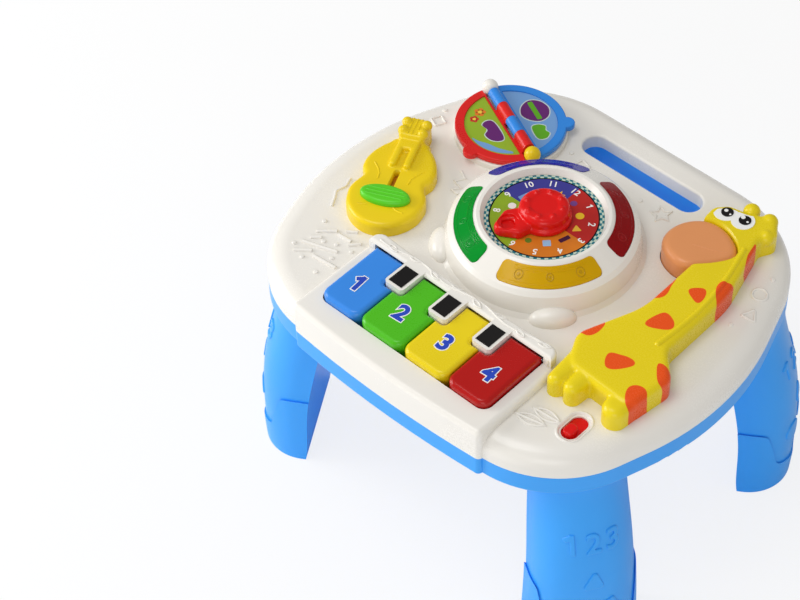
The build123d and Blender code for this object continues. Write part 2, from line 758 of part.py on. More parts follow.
def deck_solid():
    """Outer form of the white shell without its cavities."""
    solid = rounded_top(prism(body_outline(), SPLIT_Z, DECK_Z - PLATEAU_STEP), EDGE_ROUND)
    solid += rounded_top(prism(body_outline(PLATEAU_INSET), SPLIT_Z, DECK_Z), PLATEAU_ROUND)
    solid += figure_pads()
    piano = prism(piano_outline(), SPLIT_Z, DECK_Z + PIANO_LEDGE)
    solid += rounded_top(piano, PIANO_EDGE_ROUND)
    solid += rounded_top(prism(ridge_outline(), DECK_Z, DECK_Z + RIDGE_HEIGHT), RIDGE_ROUND)
    for side in (-1, 1):
        place = polar(CLOCK, FOOT_RADIUS, -90 + side * FOOT_DEG)
        bean = scale(Sphere(FOOT_HALF_WIDTH), by=(FOOT_HALF_LENGTH / FOOT_HALF_WIDTH, 1, 1))
        solid += Location((place[0], place[1], DECK_Z), (0, 0, side * FOOT_DEG)) * bean
    return solid + clock_plinth()


def deck_cavity():
    """Space under the deck, inside the piano and inside the clock."""
    low = SPLIT_Z - SKIN
    space = rounded_top(prism(body_outline(SKIN), low, DECK_UNDER), EDGE_ROUND - SKIN)
    space += prism(piano_outline(SKIN), low, DECK_Z + PIANO_LEDGE - SKIN)
    ridge = prism(ridge_outline(SKIN), low, DECK_Z + RIDGE_HEIGHT - SKIN)
    return space + ridge + clock_hollow()


def key_recess():
    """Opening in the piano block that the keys stand in."""
    half = KEY_PITCH + KEY_OUTER_WIDTH + RUN_GAP
    length = KEY_BACK - KEY_FRONT + RUN_GAP
    face = Pos(0, KEY_BACK - length / 2) * Rectangle(2 * half, length)
    face = fillet(face.vertices().group_by(Axis.Y)[0], KEY_FRONT_ROUND)
    return prism(face, DECK_UNDER - SKIN, DECK_Z + RIDGE_HEIGHT)


def switch_well():
    """Shallow well and slot of the on-off switch."""
    width, length = SWITCH_SLOT
    slot = Pos(*SWITCH) * SlotOverall(length, width, rotation=90)
    well = Pos(*SWITCH) * SlotOverall(length + 2 * SWITCH_WELL_RIM, width + 2 * SWITCH_WELL_RIM, rotation=90)
    return prism(slot, DECK_UNDER - SKIN, DECK_Z + SKIN) + prism(well, DECK_Z - SWITCH_WELL, DECK_Z + SKIN)


def make_top_shell():
    """White upper shell: deck, piano block, clock plinth, handle wall, posts and holes."""
    shell = deck_solid() - deck_cavity()
    shell += prism(slot_outline(SKIN), SLOT_SPLIT_Z, DECK_UNDER + EMBED)
    shell -= prism(slot_outline(), SPLIT_Z - SKIN, DECK_Z + SKIN)
    shell = fillet(slot_lip(shell), SLOT_LIP)
    shell -= key_recess()
    ridge_top = DECK_Z + RIDGE_HEIGHT - SKIN
    ear_back = PIVOT_Y + EAR_RADIUS + RUN_GAP
    ear_room = (2 * (KEY_PITCH + KEY_OUTER_WIDTH), 2 * (ear_back - KEY_BACK))
    shell -= block((0, KEY_BACK), ear_room, DECK_UNDER - SKIN, ridge_top)
    for x in TAB_XS:
        root = Pos(x, (KEY_BACK + PIVOT_Y) / 2) * Rectangle(TAB_WIDTH, PIVOT_Y - KEY_BACK)
        shell += prism(tab_outline(x) + root, DECK_Z + KEY_TOP - KEY_SKIRT / 2, DECK_Z + RIDGE_HEIGHT)
    rib_length = 2 * EAR_RADIUS
    for x in TAB_XS + [SKIN + SADDLE - RIDGE_HALF, RIDGE_HALF - SKIN - SADDLE]:
        shell += block((x, PIVOT_Y), (2 * SADDLE, rib_length), PIVOT_Z - EAR_RADIUS, ridge_top)
    shell -= Pos(0, PIVOT_Y, PIVOT_Z) * Rot(0, 90, 0) * Cylinder(PIVOT_RADIUS + PIN_GAP, pivot_length())
    shell += post(CLOCK, SHAFT_RADIUS + SKIN, boss_low(), boss_low() + SHAFT_BOSS)
    shell -= post(CLOCK, SHAFT_RADIUS + PIN_GAP, boss_low(), DECK_Z + DIAL_HEIGHT)
    for opening in window_openings():
        shell -= opening
    shell -= prism(muzzle_outline(RUN_GAP), DECK_UNDER - SKIN, DECK_Z + SKIN)
    shell -= switch_well()
    for place in CASE_SCREWS:
        shell += post(place, BOSS_RADIUS, TRAY_FLOOR + CASE_PAD, DECK_UNDER + EMBED)
        shell -= screw_hole(place, TRAY_FLOOR, DECK_UNDER - SKIN)
    for place in board_posts():
        shell += post(place, BOSS_RADIUS, DECK_Z - MAIN_BOARD_DROP, DECK_UNDER + EMBED)
        shell -= screw_hole(place, DECK_Z - MAIN_BOARD_DROP, DECK_UNDER - EMBED)
    for place in key_board_posts():
        shell += post(place, BOSS_RADIUS, key_board_top(), DECK_Z + PIANO_LEDGE - SKIN + EMBED)
        shell -= screw_hole(place, key_board_top(), DECK_Z)
    for place in inner_screw_places():
        shell -= screw_hole(place, DECK_UNDER - SKIN, DECK_Z + SKIN)
    return shell


def pivot_length():
    """Length of the rod that the keys swing on."""
    return 2 * (RIDGE_HALF - SKIN - SEAT_GAP)


def make_pivot_rod():
    """Steel rod behind the keys."""
    return Pos(0, PIVOT_Y, PIVOT_Z) * Rot(0, 90, 0) * Cylinder(PIVOT_RADIUS, pivot_length())


def battery_size():
    """Inside length and width of the battery compartment."""
    return (CELL_LENGTH + 2 * BATTERY_END, CELL_PITCH * CELL_COUNT + 2 * RUN_GAP)


def door_outline(inset=0.0):
    """Battery door with its screw tab."""
    length, width = battery_size()
    face = Pos(*BATTERY) * Rectangle(length - 2 * inset, width - 2 * inset)
    tab_y = BATTERY[1] + width / 2 + DOOR_TAB[1] / 2 - 1
    return face + Pos(BATTERY[0], tab_y) * Rectangle(DOOR_TAB[0] - 2 * inset, DOOR_TAB[1] + 2 - 2 * inset)


def door_screw_place():
    """Place of the battery door's screw."""
    return (BATTERY[0], BATTERY[1] + battery_size()[1] / 2 + DOOR_TAB[1] / 2)


def tray_outline(inset=0.0):
    """Outline of the whole table, piano front included."""
    return body_outline(inset) + piano_outline(inset)


def make_bottom_tray():
    """Blue lower tray with leg sockets, handle wall, grille, battery opening and screw pads."""
    solid = prism(tray_outline(), TRAY_Z, SPLIT_Z)
    solid = fillet(solid.edges().group_by(Axis.Z)[0], TRAY_ROUND)
    tray = solid - prism(tray_outline(SKIN), TRAY_FLOOR, SPLIT_Z)
    tray += prism(slot_outline(SKIN), TRAY_Z, SLOT_SPLIT_Z)
    tray -= prism(slot_outline(), TRAY_Z - SKIN, SLOT_SPLIT_Z)
    for side in LEG_SIDES.values():
        place = leg_frame(*side) * tenon_place()
        socket = place * Rectangle(TENON[1] + 2 * SKIN, TENON[0] + 2 * SKIN)
        hole = place * Rectangle(TENON[1] + 2 * SEAT_GAP, TENON[0] + 2 * SEAT_GAP)
        tray += prism(socket, TRAY_Z + EMBED, TRAY_Z + TENON[2])
        tray -= prism(hole, TRAY_Z - SKIN, TRAY_Z + TENON[2])
    tray -= prism(door_outline(), TRAY_Z - SKIN, TRAY_FLOOR)
    for ring_radius, count in GRILLE_RINGS:
        for step in range(count):
            tray -= post(polar(SPEAKER, ring_radius, 360 / count * step), GRILLE_HOLE, TRAY_Z, TRAY_FLOOR)
    for place in CASE_SCREWS:
        tray += post(place, BOSS_RADIUS, TRAY_Z + EMBED, TRAY_FLOOR + CASE_PAD)
        tray -= screw_hole(place, TRAY_Z, TRAY_FLOOR + CASE_PAD)
        tray -= post(place, SCREW_HEAD_RADIUS + RUN_GAP, TRAY_Z - SKIN, case_seat())
    return tray


def case_seat():
    """Height at which the case screws' heads bear on the tray."""
    return TRAY_Z + SCREW_HEAD + 1.0


def make_case_screws():
    """Screws that close the housing from below."""
    length = CASE_PAD + SKIN + SCREW_LENGTH
    return [screw(place, case_seat(), length) for place in CASE_SCREWS]


def make_figure_screws():
    """Screws that hold the figures to the deck from below."""
    tall = [screw(place, DECK_UNDER) for place in GIRAFFE_SCREWS + guitar_screws()]
    return tall + [screw(place, DECK_UNDER, SKIN + BOOK_BASE_HEIGHT - SKIN / 2) for place in book_screws()]


# Legs

def tenon_place():
    """Middle of a leg's tenon in the leg's own frame."""
    _, _, reach, depth = LEG_STATIONS[-1]
    return Pos((reach - depth) / 2, 0)


def leg_section(station, outset=0.0):
    """Cross section of a leg: flat at its back, rounded at its outer corners."""
    height, half, reach, depth = station
    half += outset
    reach += outset
    points = [(-depth, -half), (reach, -half), (reach, half), (-depth, half)]
    face = make_face(Polyline(points, close=True))
    face = fillet(face.vertices().group_by(Axis.X)[-1], LEG_CORNER + outset)
    return Pos(0, 0, height) * face


def leg_form(outset=0.0, deeper=0.0):
    """Solid form through the leg's sections, with its back moved."""
    sections = []
    for height, half, reach, depth in LEG_STATIONS:
        sections.append(leg_section((height, half, reach, depth + deeper), outset))
    return loft(sections)


def boot_region():
    """Space in front of the leg's boot line, which runs level round the sides and dips at the toe."""
    wide = LEG_STATIONS[0][1] + 2 * BOOT_PROUD
    cheek, cheek_z = BOOT_CHEEK
    line = [(-wide, BOOT_TOP), (-BOOT_SHOULDER, BOOT_TOP), (-cheek, cheek_z), (0, BOOT_TOE), (cheek, cheek_z),
            (BOOT_SHOULDER, BOOT_TOP), (wide, BOOT_TOP), (wide, -BOOT_TOE), (-wide, -BOOT_TOE)]
    face = Plane.YZ * make_face(FilletPolyline(line, radius=BOOT_BENDS, close=True))
    reach = max(station[2] for station in LEG_STATIONS) + 2 * BOOT_PROUD
    depth = max(station[3] for station in LEG_STATIONS)
    return extrude(Pos(-depth, 0, 0) * face, amount=reach + depth)


def make_leg():
    """Hollow shell with a boot, a closed top and a tenon, in its own frame."""
    top, half, reach, depth = LEG_STATIONS[-1]
    solid = leg_form() + (leg_form(BOOT_PROUD) & boot_region())
    hollow = leg_form(-LEG_WALL, -LEG_WALL)
    lid = Rectangle(reach + depth + 4 * LEG_WALL, 3 * half)
    cap = prism(Pos((reach - depth) / 2, 0) * lid, top - LEG_CAP, top)
    leg = solid - (hollow - cap)
    tenon = tenon_place() * Rectangle(TENON[1], TENON[0])
    core = tenon_place() * Rectangle(TENON[1] - 2 * TENON_WALL, TENON[0] - 2 * TENON_WALL)
    return leg + prism(tenon, top - LEG_CAP, top + TENON[2]) - prism(core, top, top + TENON[2])


# Flip book

def make_book_base():
    """White drum under the flip book, with bosses for its screws."""
    top = DECK_Z + BOOK_BASE_HEIGHT
    base = rounded_top(post(BOOK, BOOK_BASE_RADIUS, DECK_Z, top), BOOK_BASE_ROUND)
    base -= post(BOOK, BOOK_BASE_RADIUS - SKIN, DECK_Z, top - SKIN)
    for along in BOOK_SCREWS_AT:
        base += post(book_point(along), BOSS_RADIUS, DECK_Z, top - SKIN + EMBED)
        base -= screw_hole(book_point(along), DECK_Z, top - BLIND_END)
    for along in (-BALL_AT, BALL_AT):
        base -= post(book_point(along), BALL_POST_RADIUS + SEAT_GAP, DECK_Z, top + 1)
    return base


def ball_post(along):
    """Ball on a short foot that holds one end of the hinge pin."""
    place = book_point(along)
    hinge = DECK_Z + HINGE_HEIGHT
    ball = Pos(place[0], place[1], hinge) * Sphere(BALL_RADIUS)
    ball += post(place, BALL_POST_RADIUS, DECK_Z, hinge)
    return ball - hinge_bar(HINGE_PIN_RADIUS + PIN_GAP)


def hinge_bar(radius, start=-BALL_AT, end=BALL_AT):
    """Cylinder along the flip book's hinge line."""
    middle = (start + end) / 2
    bar = Pos(middle, 0, DECK_Z + HINGE_HEIGHT) * Rot(0, 90, 0) * Cylinder(radius, end - start)
    return book_frame() * bar


def knuckle_spans():
    """Start and end of each hinge knuckle along the bar, from the white ball."""
    free = 2 * (BALL_AT - BALL_RADIUS - PAGE_GAP)
    step = free / KNUCKLE_COUNT
    starts = [-free / 2 + step * index for index in range(KNUCKLE_COUNT)]
    return [(start + PAGE_GAP / 2, start + step - PAGE_GAP / 2) for start in starts]


def page_outline(inset, hinge_gap, side):
    """Half disc on one side of the hinge line."""
    disc = Circle(PAGE_RADIUS - inset)
    wide = 2 * PAGE_RADIUS
    return disc & (Pos(0, side * (hinge_gap + wide / 2)) * Rectangle(wide, wide))


def page_levels():
    """Lower and upper face of a page that lies flat."""
    low = DECK_Z + BOOK_BASE_HEIGHT + PAGE_GAP
    return low, low + PAGE_THICK


def make_page(side, first_knuckle):
    """Half-round page with a rim, a sunken panel, a finger tab and its own hinge knuckles."""
    low, high = page_levels()
    clear = KNUCKLE_RADIUS + RUN_GAP
    page = softened(prism(page_outline(0, clear, side), low, high), PAGE_EDGE)
    tab_place = polar((0, 0), PAGE_RADIUS, side * PAGE_TAB_DEG)
    page += softened(post(tab_place, PAGE_TAB_RADIUS, low, high), PAGE_EDGE)
    sunk = (PAGE_THICK - PAGE_PANEL) / 2
    window = page_outline(PAGE_RIM, clear + PAGE_HINGE_RIM, side)
    page -= prism(window, low, low + sunk) + prism(window, high - sunk, high)
    for along in (-BALL_AT, BALL_AT):
        page -= Pos(along, 0, DECK_Z + HINGE_HEIGHT) * Sphere(BALL_RADIUS + RUN_GAP)
    page = book_frame() * page
    for start, end in knuckle_spans()[first_knuckle::2]:
        page += hinge_bar(KNUCKLE_RADIUS, start, end)
        web = Pos((start + end) / 2, side * clear / 2) * Rectangle(end - start, clear + PAGE_HINGE_RIM)
        page += book_frame() * prism(web, low + sunk, high)
    return page - hinge_bar(HINGE_PIN_RADIUS + PIN_GAP)


def make_page_prints(side):
    """Printed sheets on both faces of a page's panel."""
    low, high = page_levels()
    sunk = (PAGE_THICK - PAGE_PANEL) / 2
    hinge_gap = KNUCKLE_RADIUS + RUN_GAP + PAGE_HINGE_RIM + SEAT_GAP
    sheet = page_outline(PAGE_RIM + SEAT_GAP, hinge_gap, side)
    return [book_frame() * prism(sheet, low + sunk - PRINT, low + sunk),
            book_frame() * prism(sheet, high - sunk, high - sunk + PRINT)]


# Guitar

def make_guitar_body():
    """Hollow guitar body with the slider's slot."""
    top = DECK_Z + GUITAR_TOP
    waist = LOWER_BOUT / 3
    body = prism(guitar_outline(), DECK_Z, top)
    creases = [edge for edge in body.edges().filter_by(Axis.Z) if edge.length > GUITAR_TOP - 1]
    body = rounded_top(fillet(creases, waist), GUITAR_ROUND)
    body -= prism(guitar_outline(SKIN), DECK_Z, top - SKIN)
    for along in GUITAR_SCREWS_AT:
        body += post(guitar_point(along), BOSS_RADIUS, DECK_Z, top - SKIN + EMBED)
        body -= screw_hole(guitar_point(along), DECK_Z, top - BLIND_END)
    length = GUITAR_SLOT_END - GUITAR_SLOT_START
    slot = Pos((GUITAR_SLOT_END + GUITAR_SLOT_START) / 2, 0) * Rectangle(length, GUITAR_SLOT_WIDTH)
    return body - guitar_frame() * prism(slot, top - 2 * SKIN, top + SKIN)


def make_guitar_neck():
    """Raised neck with two prongs, a broad head, four pegs and string ridges."""
    top = DECK_Z + GUITAR_TOP
    head_top = DECK_Z + HEAD_TOP
    prong_top = top + PRONG_RISE
    neck_top = head_top - NECK_DROP
    neck_end = HEAD_START + NECK_LAP
    side_face = make_face(Polyline((PRONG_END, 0, top), (PRONG_END + NECK_DROP, 0, prong_top),
                                   (HEAD_START, 0, neck_top), (neck_end, 0, neck_top),
                                   (neck_end, 0, top), close=True))
    neck = extrude(side_face, amount=NECK_WIDTH / 2, both=True)
    groove = NECK_WIDTH - 2 * PRONG_WIDTH
    neck -= block(((PRONG_END + NECK_START) / 2 - 1, 0), (NECK_START - PRONG_END + 2, groove), top, head_top)
    head = Pos((HEAD_START + HEAD_END) / 2, 0) * Rectangle(HEAD_END - HEAD_START, HEAD_WIDTH)
    head = rounded_top(prism(fillet(head.vertices(), HEAD_ROUND), DECK_Z, head_top), HEAD_ROUND * 0.6)
    inside = Pos((HEAD_START + HEAD_END) / 2 + SKIN, 0)
    hollow = Rectangle(HEAD_END - HEAD_START - 4 * SKIN, HEAD_WIDTH - 2 * SKIN)
    head -= prism(inside * hollow, DECK_Z, head_top - SKIN)
    head -= prism(Pos(BOUT_STEP, 0) * Circle(UPPER_BOUT + SEAT_GAP), DECK_Z, top)
    neck += head
    peg_side = HEAD_WIDTH / 2 - PEG_RADIUS + PEG_PROUD
    for along in (HEAD_START + PEG_INSET, HEAD_END - PEG_INSET):
        for side in (-1, 1):
            neck += Pos(along, side * peg_side, head_top) * Sphere(PEG_RADIUS)
    for side in (-1, 0, 1):
        place = ((HEAD_START + HEAD_END) / 2, side * STRING_STEP)
        length = HEAD_END - HEAD_START - 2 * NECK_DROP
        neck += block(place, (length, STRING_WIDTH), head_top, head_top + STRING_RISE)
    return guitar_frame() * neck


def slider_low():
    """Underside of the slider's oval."""
    return DECK_Z + GUITAR_TOP + PAGE_GAP


def make_guitar_slider():
    """Oval finger grip on a stem that runs in the guitar's slot."""
    low = slider_low()
    oval = prism(Ellipse(SLIDER_WIDTH / 2, SLIDER_LENGTH / 2), low, low + SLIDER_THICK)
    oval = rounded_top(oval, SLIDER_THICK * 0.6)
    width = GUITAR_SLOT_WIDTH - 2 * SEAT_GAP
    stem = block((0, 0), (SLIDER_STEM, width), keeper_top(), low)
    slider = oval + stem
    return guitar_frame() * (slider - screw_hole((0, 0), keeper_top(), low + BLIND_END))


def keeper_top():
    """Top of the plate that keeps the slider in its slot."""
    return DECK_Z + GUITAR_TOP - SKIN - PAGE_GAP


def make_slider_keeper():
    """Plate under the guitar's top that is screwed to the slider's stem."""
    top = keeper_top()
    plate = block((0, 0), KEEPER[:2], top - KEEPER[2], top)
    return guitar_frame() * (plate - screw_hole((0, 0), top - KEEPER[2], top))


def make_slider_screw():
    """Small screw through the keeper."""
    return screw(GUITAR, keeper_top() - KEEPER[2], KEEPER[2] + KEEPER_BITE)


# Giraffe

def giraffe_face(inset=0.0):
    """Smooth outline of the giraffe's body, neck and head."""
    face = make_face(FilletPolyline(GIRAFFE_CORNERS, radius=GIRAFFE_BENDS, close=True))
    return offset(face, amount=-inset) if inset else face


def make_giraffe_body():
    """Hollow yellow figure: body, feet, horns and ear, with a bay for the muzzle."""
    top = DECK_Z + GIRAFFE_TOP
    figure = rounded_top(prism(giraffe_face(), DECK_Z, top), GIRAFFE_ROUND)
    feet_top = DECK_Z + GIRAFFE_FEET_TOP
    for x, width, tip in GIRAFFE_FEET:
        foot = Pos(x, (tip + FOOT_BACK) / 2) * SlotOverall(FOOT_BACK - tip, width, rotation=90)
        figure += rounded_top(prism(foot, DECK_Z, feet_top), GIRAFFE_FEET_ROUND)
    for place in HORNS:
        figure += post(place, HORN_RADIUS * 0.7, DECK_Z, DECK_Z + HORN_HEIGHT)
        figure += Pos(place[0], place[1], DECK_Z + HORN_HEIGHT) * Sphere(HORN_RADIUS)
    figure += post(EAR, EAR_BALL_RADIUS, DECK_Z, DECK_Z + HORN_HEIGHT)
    figure += Pos(EAR[0], EAR[1], DECK_Z + HORN_HEIGHT) * Sphere(EAR_BALL_RADIUS)
    figure -= prism(giraffe_face(SKIN), DECK_Z, top - SKIN)
    wall = prism(muzzle_outline(RUN_GAP + SKIN), DECK_Z, top - SKIN)
    figure += wall & prism(giraffe_face(SKIN / 2), DECK_Z, top)
    for place in GIRAFFE_SCREWS:
        figure += post(place, BOSS_RADIUS, DECK_Z, top - SKIN + EMBED)
        figure -= screw_hole(place, DECK_Z, DECK_Z + SCREW_LENGTH)
    return figure - prism(muzzle_outline(RUN_GAP), DECK_Z - SKIN, top + SKIN)


def make_giraffe_eyes():
    """White eye plate on top of the head."""
    low = DECK_Z + GIRAFFE_TOP
    discs = [post((x, y), radius, low, low + EYE_THICK) for x, y, radius in EYE_WHITES]
    patch = discs[0] + discs[1] - prism(muzzle_outline(RUN_GAP), low, low + EYE_THICK)
    return patch & prism(giraffe_face(GIRAFFE_ROUND + SEAT_GAP), low, low + EYE_THICK)


def make_pupils():
    """Black pupils on the eye plates."""
    low = DECK_Z + GIRAFFE_TOP + EYE_THICK
    return [post(place, PUPIL_RADIUS, low, low + STICKER) for place in EYES]


def muzzle_flange_top():
    """Top of the flange that stops the muzzle under the deck."""
    return DECK_UNDER - PAGE_GAP


def make_muzzle():
    """Press button: rounded cap, flange under the deck and a plunger."""
    top = DECK_Z + MUZZLE_TOP
    low = muzzle_flange_top() - MUZZLE_FLANGE
    cap = rounded_top(prism(muzzle_outline(), low, top), MUZZLE_ROUND)
    flange = muzzle_outline(RUN_GAP + MUZZLE_FLANGE_WIDTH)
    cap += prism(flange, low, muzzle_flange_top())
    cap -= prism(muzzle_outline(-SKIN), low, top - SKIN)
    plunger_end = main_board_top() + DOME_HEIGHT + PAGE_GAP
    return cap + post(MUZZLE_MID, PLUNGER_RADIUS, plunger_end, top - SKIN)


def main_board_top():
    """Height of the main board's upper face."""
    return DECK_Z - MAIN_BOARD_DROP


def make_main_board():
    """Circuit board under the giraffe, screwed to four posts."""
    top = main_board_top()
    board = block(MAIN_BOARD, MAIN_BOARD_SIZE, top - BOARD, top)
    for place in board_posts():
        board -= screw_hole(place, top - BOARD, top)
    return board


def make_board_screws():
    """Screws that hold the main board and the key board."""
    main = [screw(place, main_board_top() - BOARD, SCREW_LENGTH) for place in board_posts()]
    keys = [screw(place, key_board_top() - BOARD, SCREW_LENGTH) for place in key_board_posts()]
    return main + keys


def make_sound_chip():
    """Sound chip on the lower face of the main board."""
    high = main_board_top() - BOARD
    return block(CHIP_AT, CHIP, high - CHIP[2], high)


# Switch

def make_switch_knob():
    """Red slide plate under the deck with a grip in the slot."""
    rest = (SWITCH[0], SWITCH[1] - SWITCH_TRAVEL / 2)
    high = DECK_UNDER - PAGE_GAP
    width, length, thick = SWITCH_PLATE
    plate = prism(Pos(*rest) * SlotOverall(length, width, rotation=90), high - thick, high)
    grip = Pos(*rest) * SlotOverall(SWITCH_KNOB[1], SWITCH_KNOB[0], rotation=90)
    return plate + rounded_top(prism(grip, high - thick / 2, DECK_Z + SWITCH_RISE), SWITCH_ROUND)


def make_switch_body():
    """Slide switch under the knob, on a bracket hung from the deck."""
    high = DECK_UNDER - PAGE_GAP - SWITCH_PLATE[2] - PAGE_GAP
    width, length, depth = SWITCH_BODY
    body = block(SWITCH, (width, length), high - depth, high)
    wing = (SWITCH_PLATE[0] + 2 * RUN_GAP + 2 * SKIN, SKIN * 4)
    middle = high - depth / 2
    wings = block(SWITCH, wing, middle, high) - block(SWITCH, (width, wing[1]), middle, high)
    sides = []
    for side in (-1, 1):
        place = (SWITCH[0] + side * (wing[0] - SKIN) / 2, SWITCH[1])
        sides.append(block(place, (SKIN, wing[1]), high, DECK_UNDER))
    return body + wings + sides[0] + sides[1]


# Battery compartment and speaker

def make_battery_box():
    """Open-bottomed box over the cells, with a boss for the door's screw."""
    length, width = battery_size()
    high = TRAY_FLOOR + 2 * CELL_RADIUS + 2 * BATTERY_WALL
    box = block(BATTERY, (length + 2 * BATTERY_WALL, width + 2 * BATTERY_WALL), TRAY_FLOOR, high)
    box -= block(BATTERY, (length, width), TRAY_FLOOR, high - BATTERY_WALL)
    place = door_screw_place()
    boss = (DOOR_TAB[0] + 2 * BATTERY_WALL, DOOR_TAB[1] + 2 * BATTERY_WALL)
    box += block((place[0], place[1] - BATTERY_WALL / 2), boss, TRAY_FLOOR, high - BATTERY_WALL)
    inner = block(BATTERY, (length, width), TRAY_FLOOR, high - BATTERY_WALL)
    return box - inner - screw_hole(place, TRAY_FLOOR, TRAY_FLOOR + SCREW_LENGTH)


def cell_places():
    """Middle of each cell across the compartment."""
    first = -(CELL_COUNT - 1) / 2
    return [(BATTERY[0], BATTERY[1] + CELL_PITCH * (first + index)) for index in range(CELL_COUNT)]


CELL_Z = TRAY_FLOOR + CELL_RADIUS + PAGE_GAP


def make_cells():
    """Round cells that lie side by side, each with a terminal nub."""
    cells = []
    for index, (x, y) in enumerate(cell_places()):
        way = 1 if index % 2 else -1
        cell = Pos(x, y, CELL_Z) * Rot(0, 90, 0) * Cylinder(CELL_RADIUS, CELL_LENGTH)
        nub = Pos(x + way * (CELL_LENGTH / 2 + CONTACT), y, CELL_Z) * Rot(0, 90, 0)
        cells.append(cell + nub * Cylinder(CONTACT_RADIUS * 0.9, 2 * CONTACT))
    return cells


def make_contacts():
    """Spring plates at both ends of each cell."""
    plates = []
    wall = CELL_LENGTH / 2 + BATTERY_END
    for x, y in cell_places():
        for side in (-1, 1):
            sheet = Box(CONTACT, 2 * CELL_RADIUS, 2 * CELL_RADIUS)
            plate = Pos(x + side * (wall - CONTACT / 2), y, CELL_Z) * sheet
            reach = BATTERY_END - CONTACT - 2 * CONTACT - SEAT_GAP
            pad = Pos(x + side * (wall - CONTACT - reach / 2), y, CELL_Z) * Rot(0, 90, 0)
            plates.append(plate + pad * Cylinder(CONTACT_RADIUS, reach))
    return plates


def make_battery_door():
    """Flush door in the tray's floor."""
    door = prism(door_outline(SEAT_GAP), TRAY_Z, TRAY_FLOOR)
    place = door_screw_place()
    door -= screw_hole(place, TRAY_Z, TRAY_FLOOR)
    return door - post(place, SCREW_HEAD_RADIUS + RUN_GAP, TRAY_Z, door_seat())


def door_seat():
    """Height at which the door screw's head bears."""
    return TRAY_FLOOR - 1.0


def make_door_screw():
    """Screw that locks the battery door."""
    place = door_screw_place()
    head = post(place, SCREW_HEAD_RADIUS, TRAY_Z, door_seat())
    return head + post(place, SCREW_RADIUS, door_seat(), TRAY_FLOOR + SCREW_LENGTH - 1.0)


def basket_back():
    """Height of the loudspeaker basket's back."""
    return TRAY_FLOOR + SPEAKER_DEPTH * BASKET_SHARE


def make_speaker_frame():
    """Pressed basket of the loudspeaker, its rim on the tray's grille."""
    low = TRAY_FLOOR
    back = basket_back()
    rim = low + SPEAKER_RIM
    outer = SPEAKER_RADIUS
    lip = SPEAKER_RADIUS - SPEAKER_RIM_WIDTH
    throat = SPEAKER_RADIUS * THROAT_SHARE
    hole = throat - SPEAKER_RIM_WIDTH
    return turned([(lip, low), (outer, low), (outer, rim), (lip + BASKET, rim), (throat + BASKET, back),
                   (hole, back), (hole, back - BASKET), (throat, back - BASKET),
                   (lip, low + BASKET)], SPEAKER)


def make_speaker_cone():
    """Paper cone inside the basket."""
    low = TRAY_FLOOR + CONE_LIFT
    outer = SPEAKER_RADIUS - CONE_CLEAR - CONE_PAPER
    inner = SPEAKER_RADIUS * THROAT_SHARE - CONE_CLEAR
    deep = basket_back() - 2 * BASKET
    under = deep - CONE_PAPER
    lip = low + CONE_PAPER
    return turned([(outer, low), (outer, lip), (inner, deep), (0, deep), (0, under), (inner, under)], SPEAKER)


def make_speaker_magnet():
    """Magnet behind the basket."""
    magnet = post(SPEAKER, SPEAKER_RADIUS * THROAT_SHARE, basket_back(), TRAY_FLOOR + SPEAKER_DEPTH)
    return rounded_top(magnet, MAGNET_ROUND)


def collect():
    """Every named piece of the table."""
    pieces = {
        "top_shell": [make_top_shell()],
        "bottom_tray": [make_bottom_tray()],
        "battery_box": [make_battery_box()],
        "battery_cells": make_cells(),
        "battery_contacts": make_contacts(),
        "battery_door": [make_battery_door()],
        "battery_door_screw": [make_door_screw()],
        "speaker_frame": [make_speaker_frame()],
        "speaker_cone": [make_speaker_cone()],
        "speaker_magnet": [make_speaker_magnet()],
        "main_board": [make_main_board()],
        "sound_chip": [make_sound_chip()],
        "board_screws": make_board_screws() + make_light_screws(),
        "case_screws": make_case_screws(),
        "figure_screws": make_figure_screws(),
        "light_board": [make_light_board()],
        "lamps": make_leds(),
        "clock_dial": [make_dial()],
        "pointer": [make_pointer()],
        "pointer_washer": [make_washer()],
        "pointer_screw": [make_pointer_screw()],
        "key_rod": [make_pivot_rod()],
        "key_board": [make_key_board()],
        "black_tabs": make_stickers(),
        "book_base": [make_book_base()],
        "book_hinge_pin": [hinge_bar(HINGE_PIN_RADIUS, SEAT_GAP - BALL_AT, BALL_AT - SEAT_GAP)],
        "book_white_ball": [ball_post(-BALL_AT)],
        "book_yellow_ball": [ball_post(BALL_AT)],
        "page_red": [make_page(-1, 1)],
        "page_red_prints": make_page_prints(-1),
        "page_blue": [make_page(1, 0)],
        "page_blue_prints": make_page_prints(1),
        "guitar_body": [make_guitar_body()],
        "guitar_neck": [make_guitar_neck()],
        "guitar_slider": [make_guitar_slider()],
        "slider_keeper": [make_slider_keeper()],
        "slider_screw": [make_slider_screw()],
        "giraffe_body": [make_giraffe_body()],
        "giraffe_eyes": [make_giraffe_eyes()],
        "giraffe_pupils": make_pupils(),
        "giraffe_muzzle": [make_muzzle()],
        "muzzle_dome": [dome(MUZZLE_MID, main_board_top())],
        "switch_knob": [make_switch_knob()],
        "switch_body": [make_switch_body()],
    }
    for colour, span, place in zip(("blue", "green", "yellow", "red"), key_spans(), key_dome_places()):
        pieces["key_" + colour] = [make_key(*span)]
        pieces["key_dome_" + colour] = [dome(place, key_board_top())]
    for quarter, name in enumerate(("window_red", "window_blue", "window_green", "window_amber")):
        pieces[name] = [make_window(quarter)]
    leg = make_leg()
    for name, side in LEG_SIDES.items():
        pieces["leg_" + name] = [leg_frame(*side) * leg]
    return pieces


os.makedirs("parts", exist_ok=True)
for node, solids in collect().items():
    shape = solids[0] if len(solids) == 1 else Compound(children=[Part() + solid for solid in solids])
    export_step(shape, "parts/" + node + ".step")
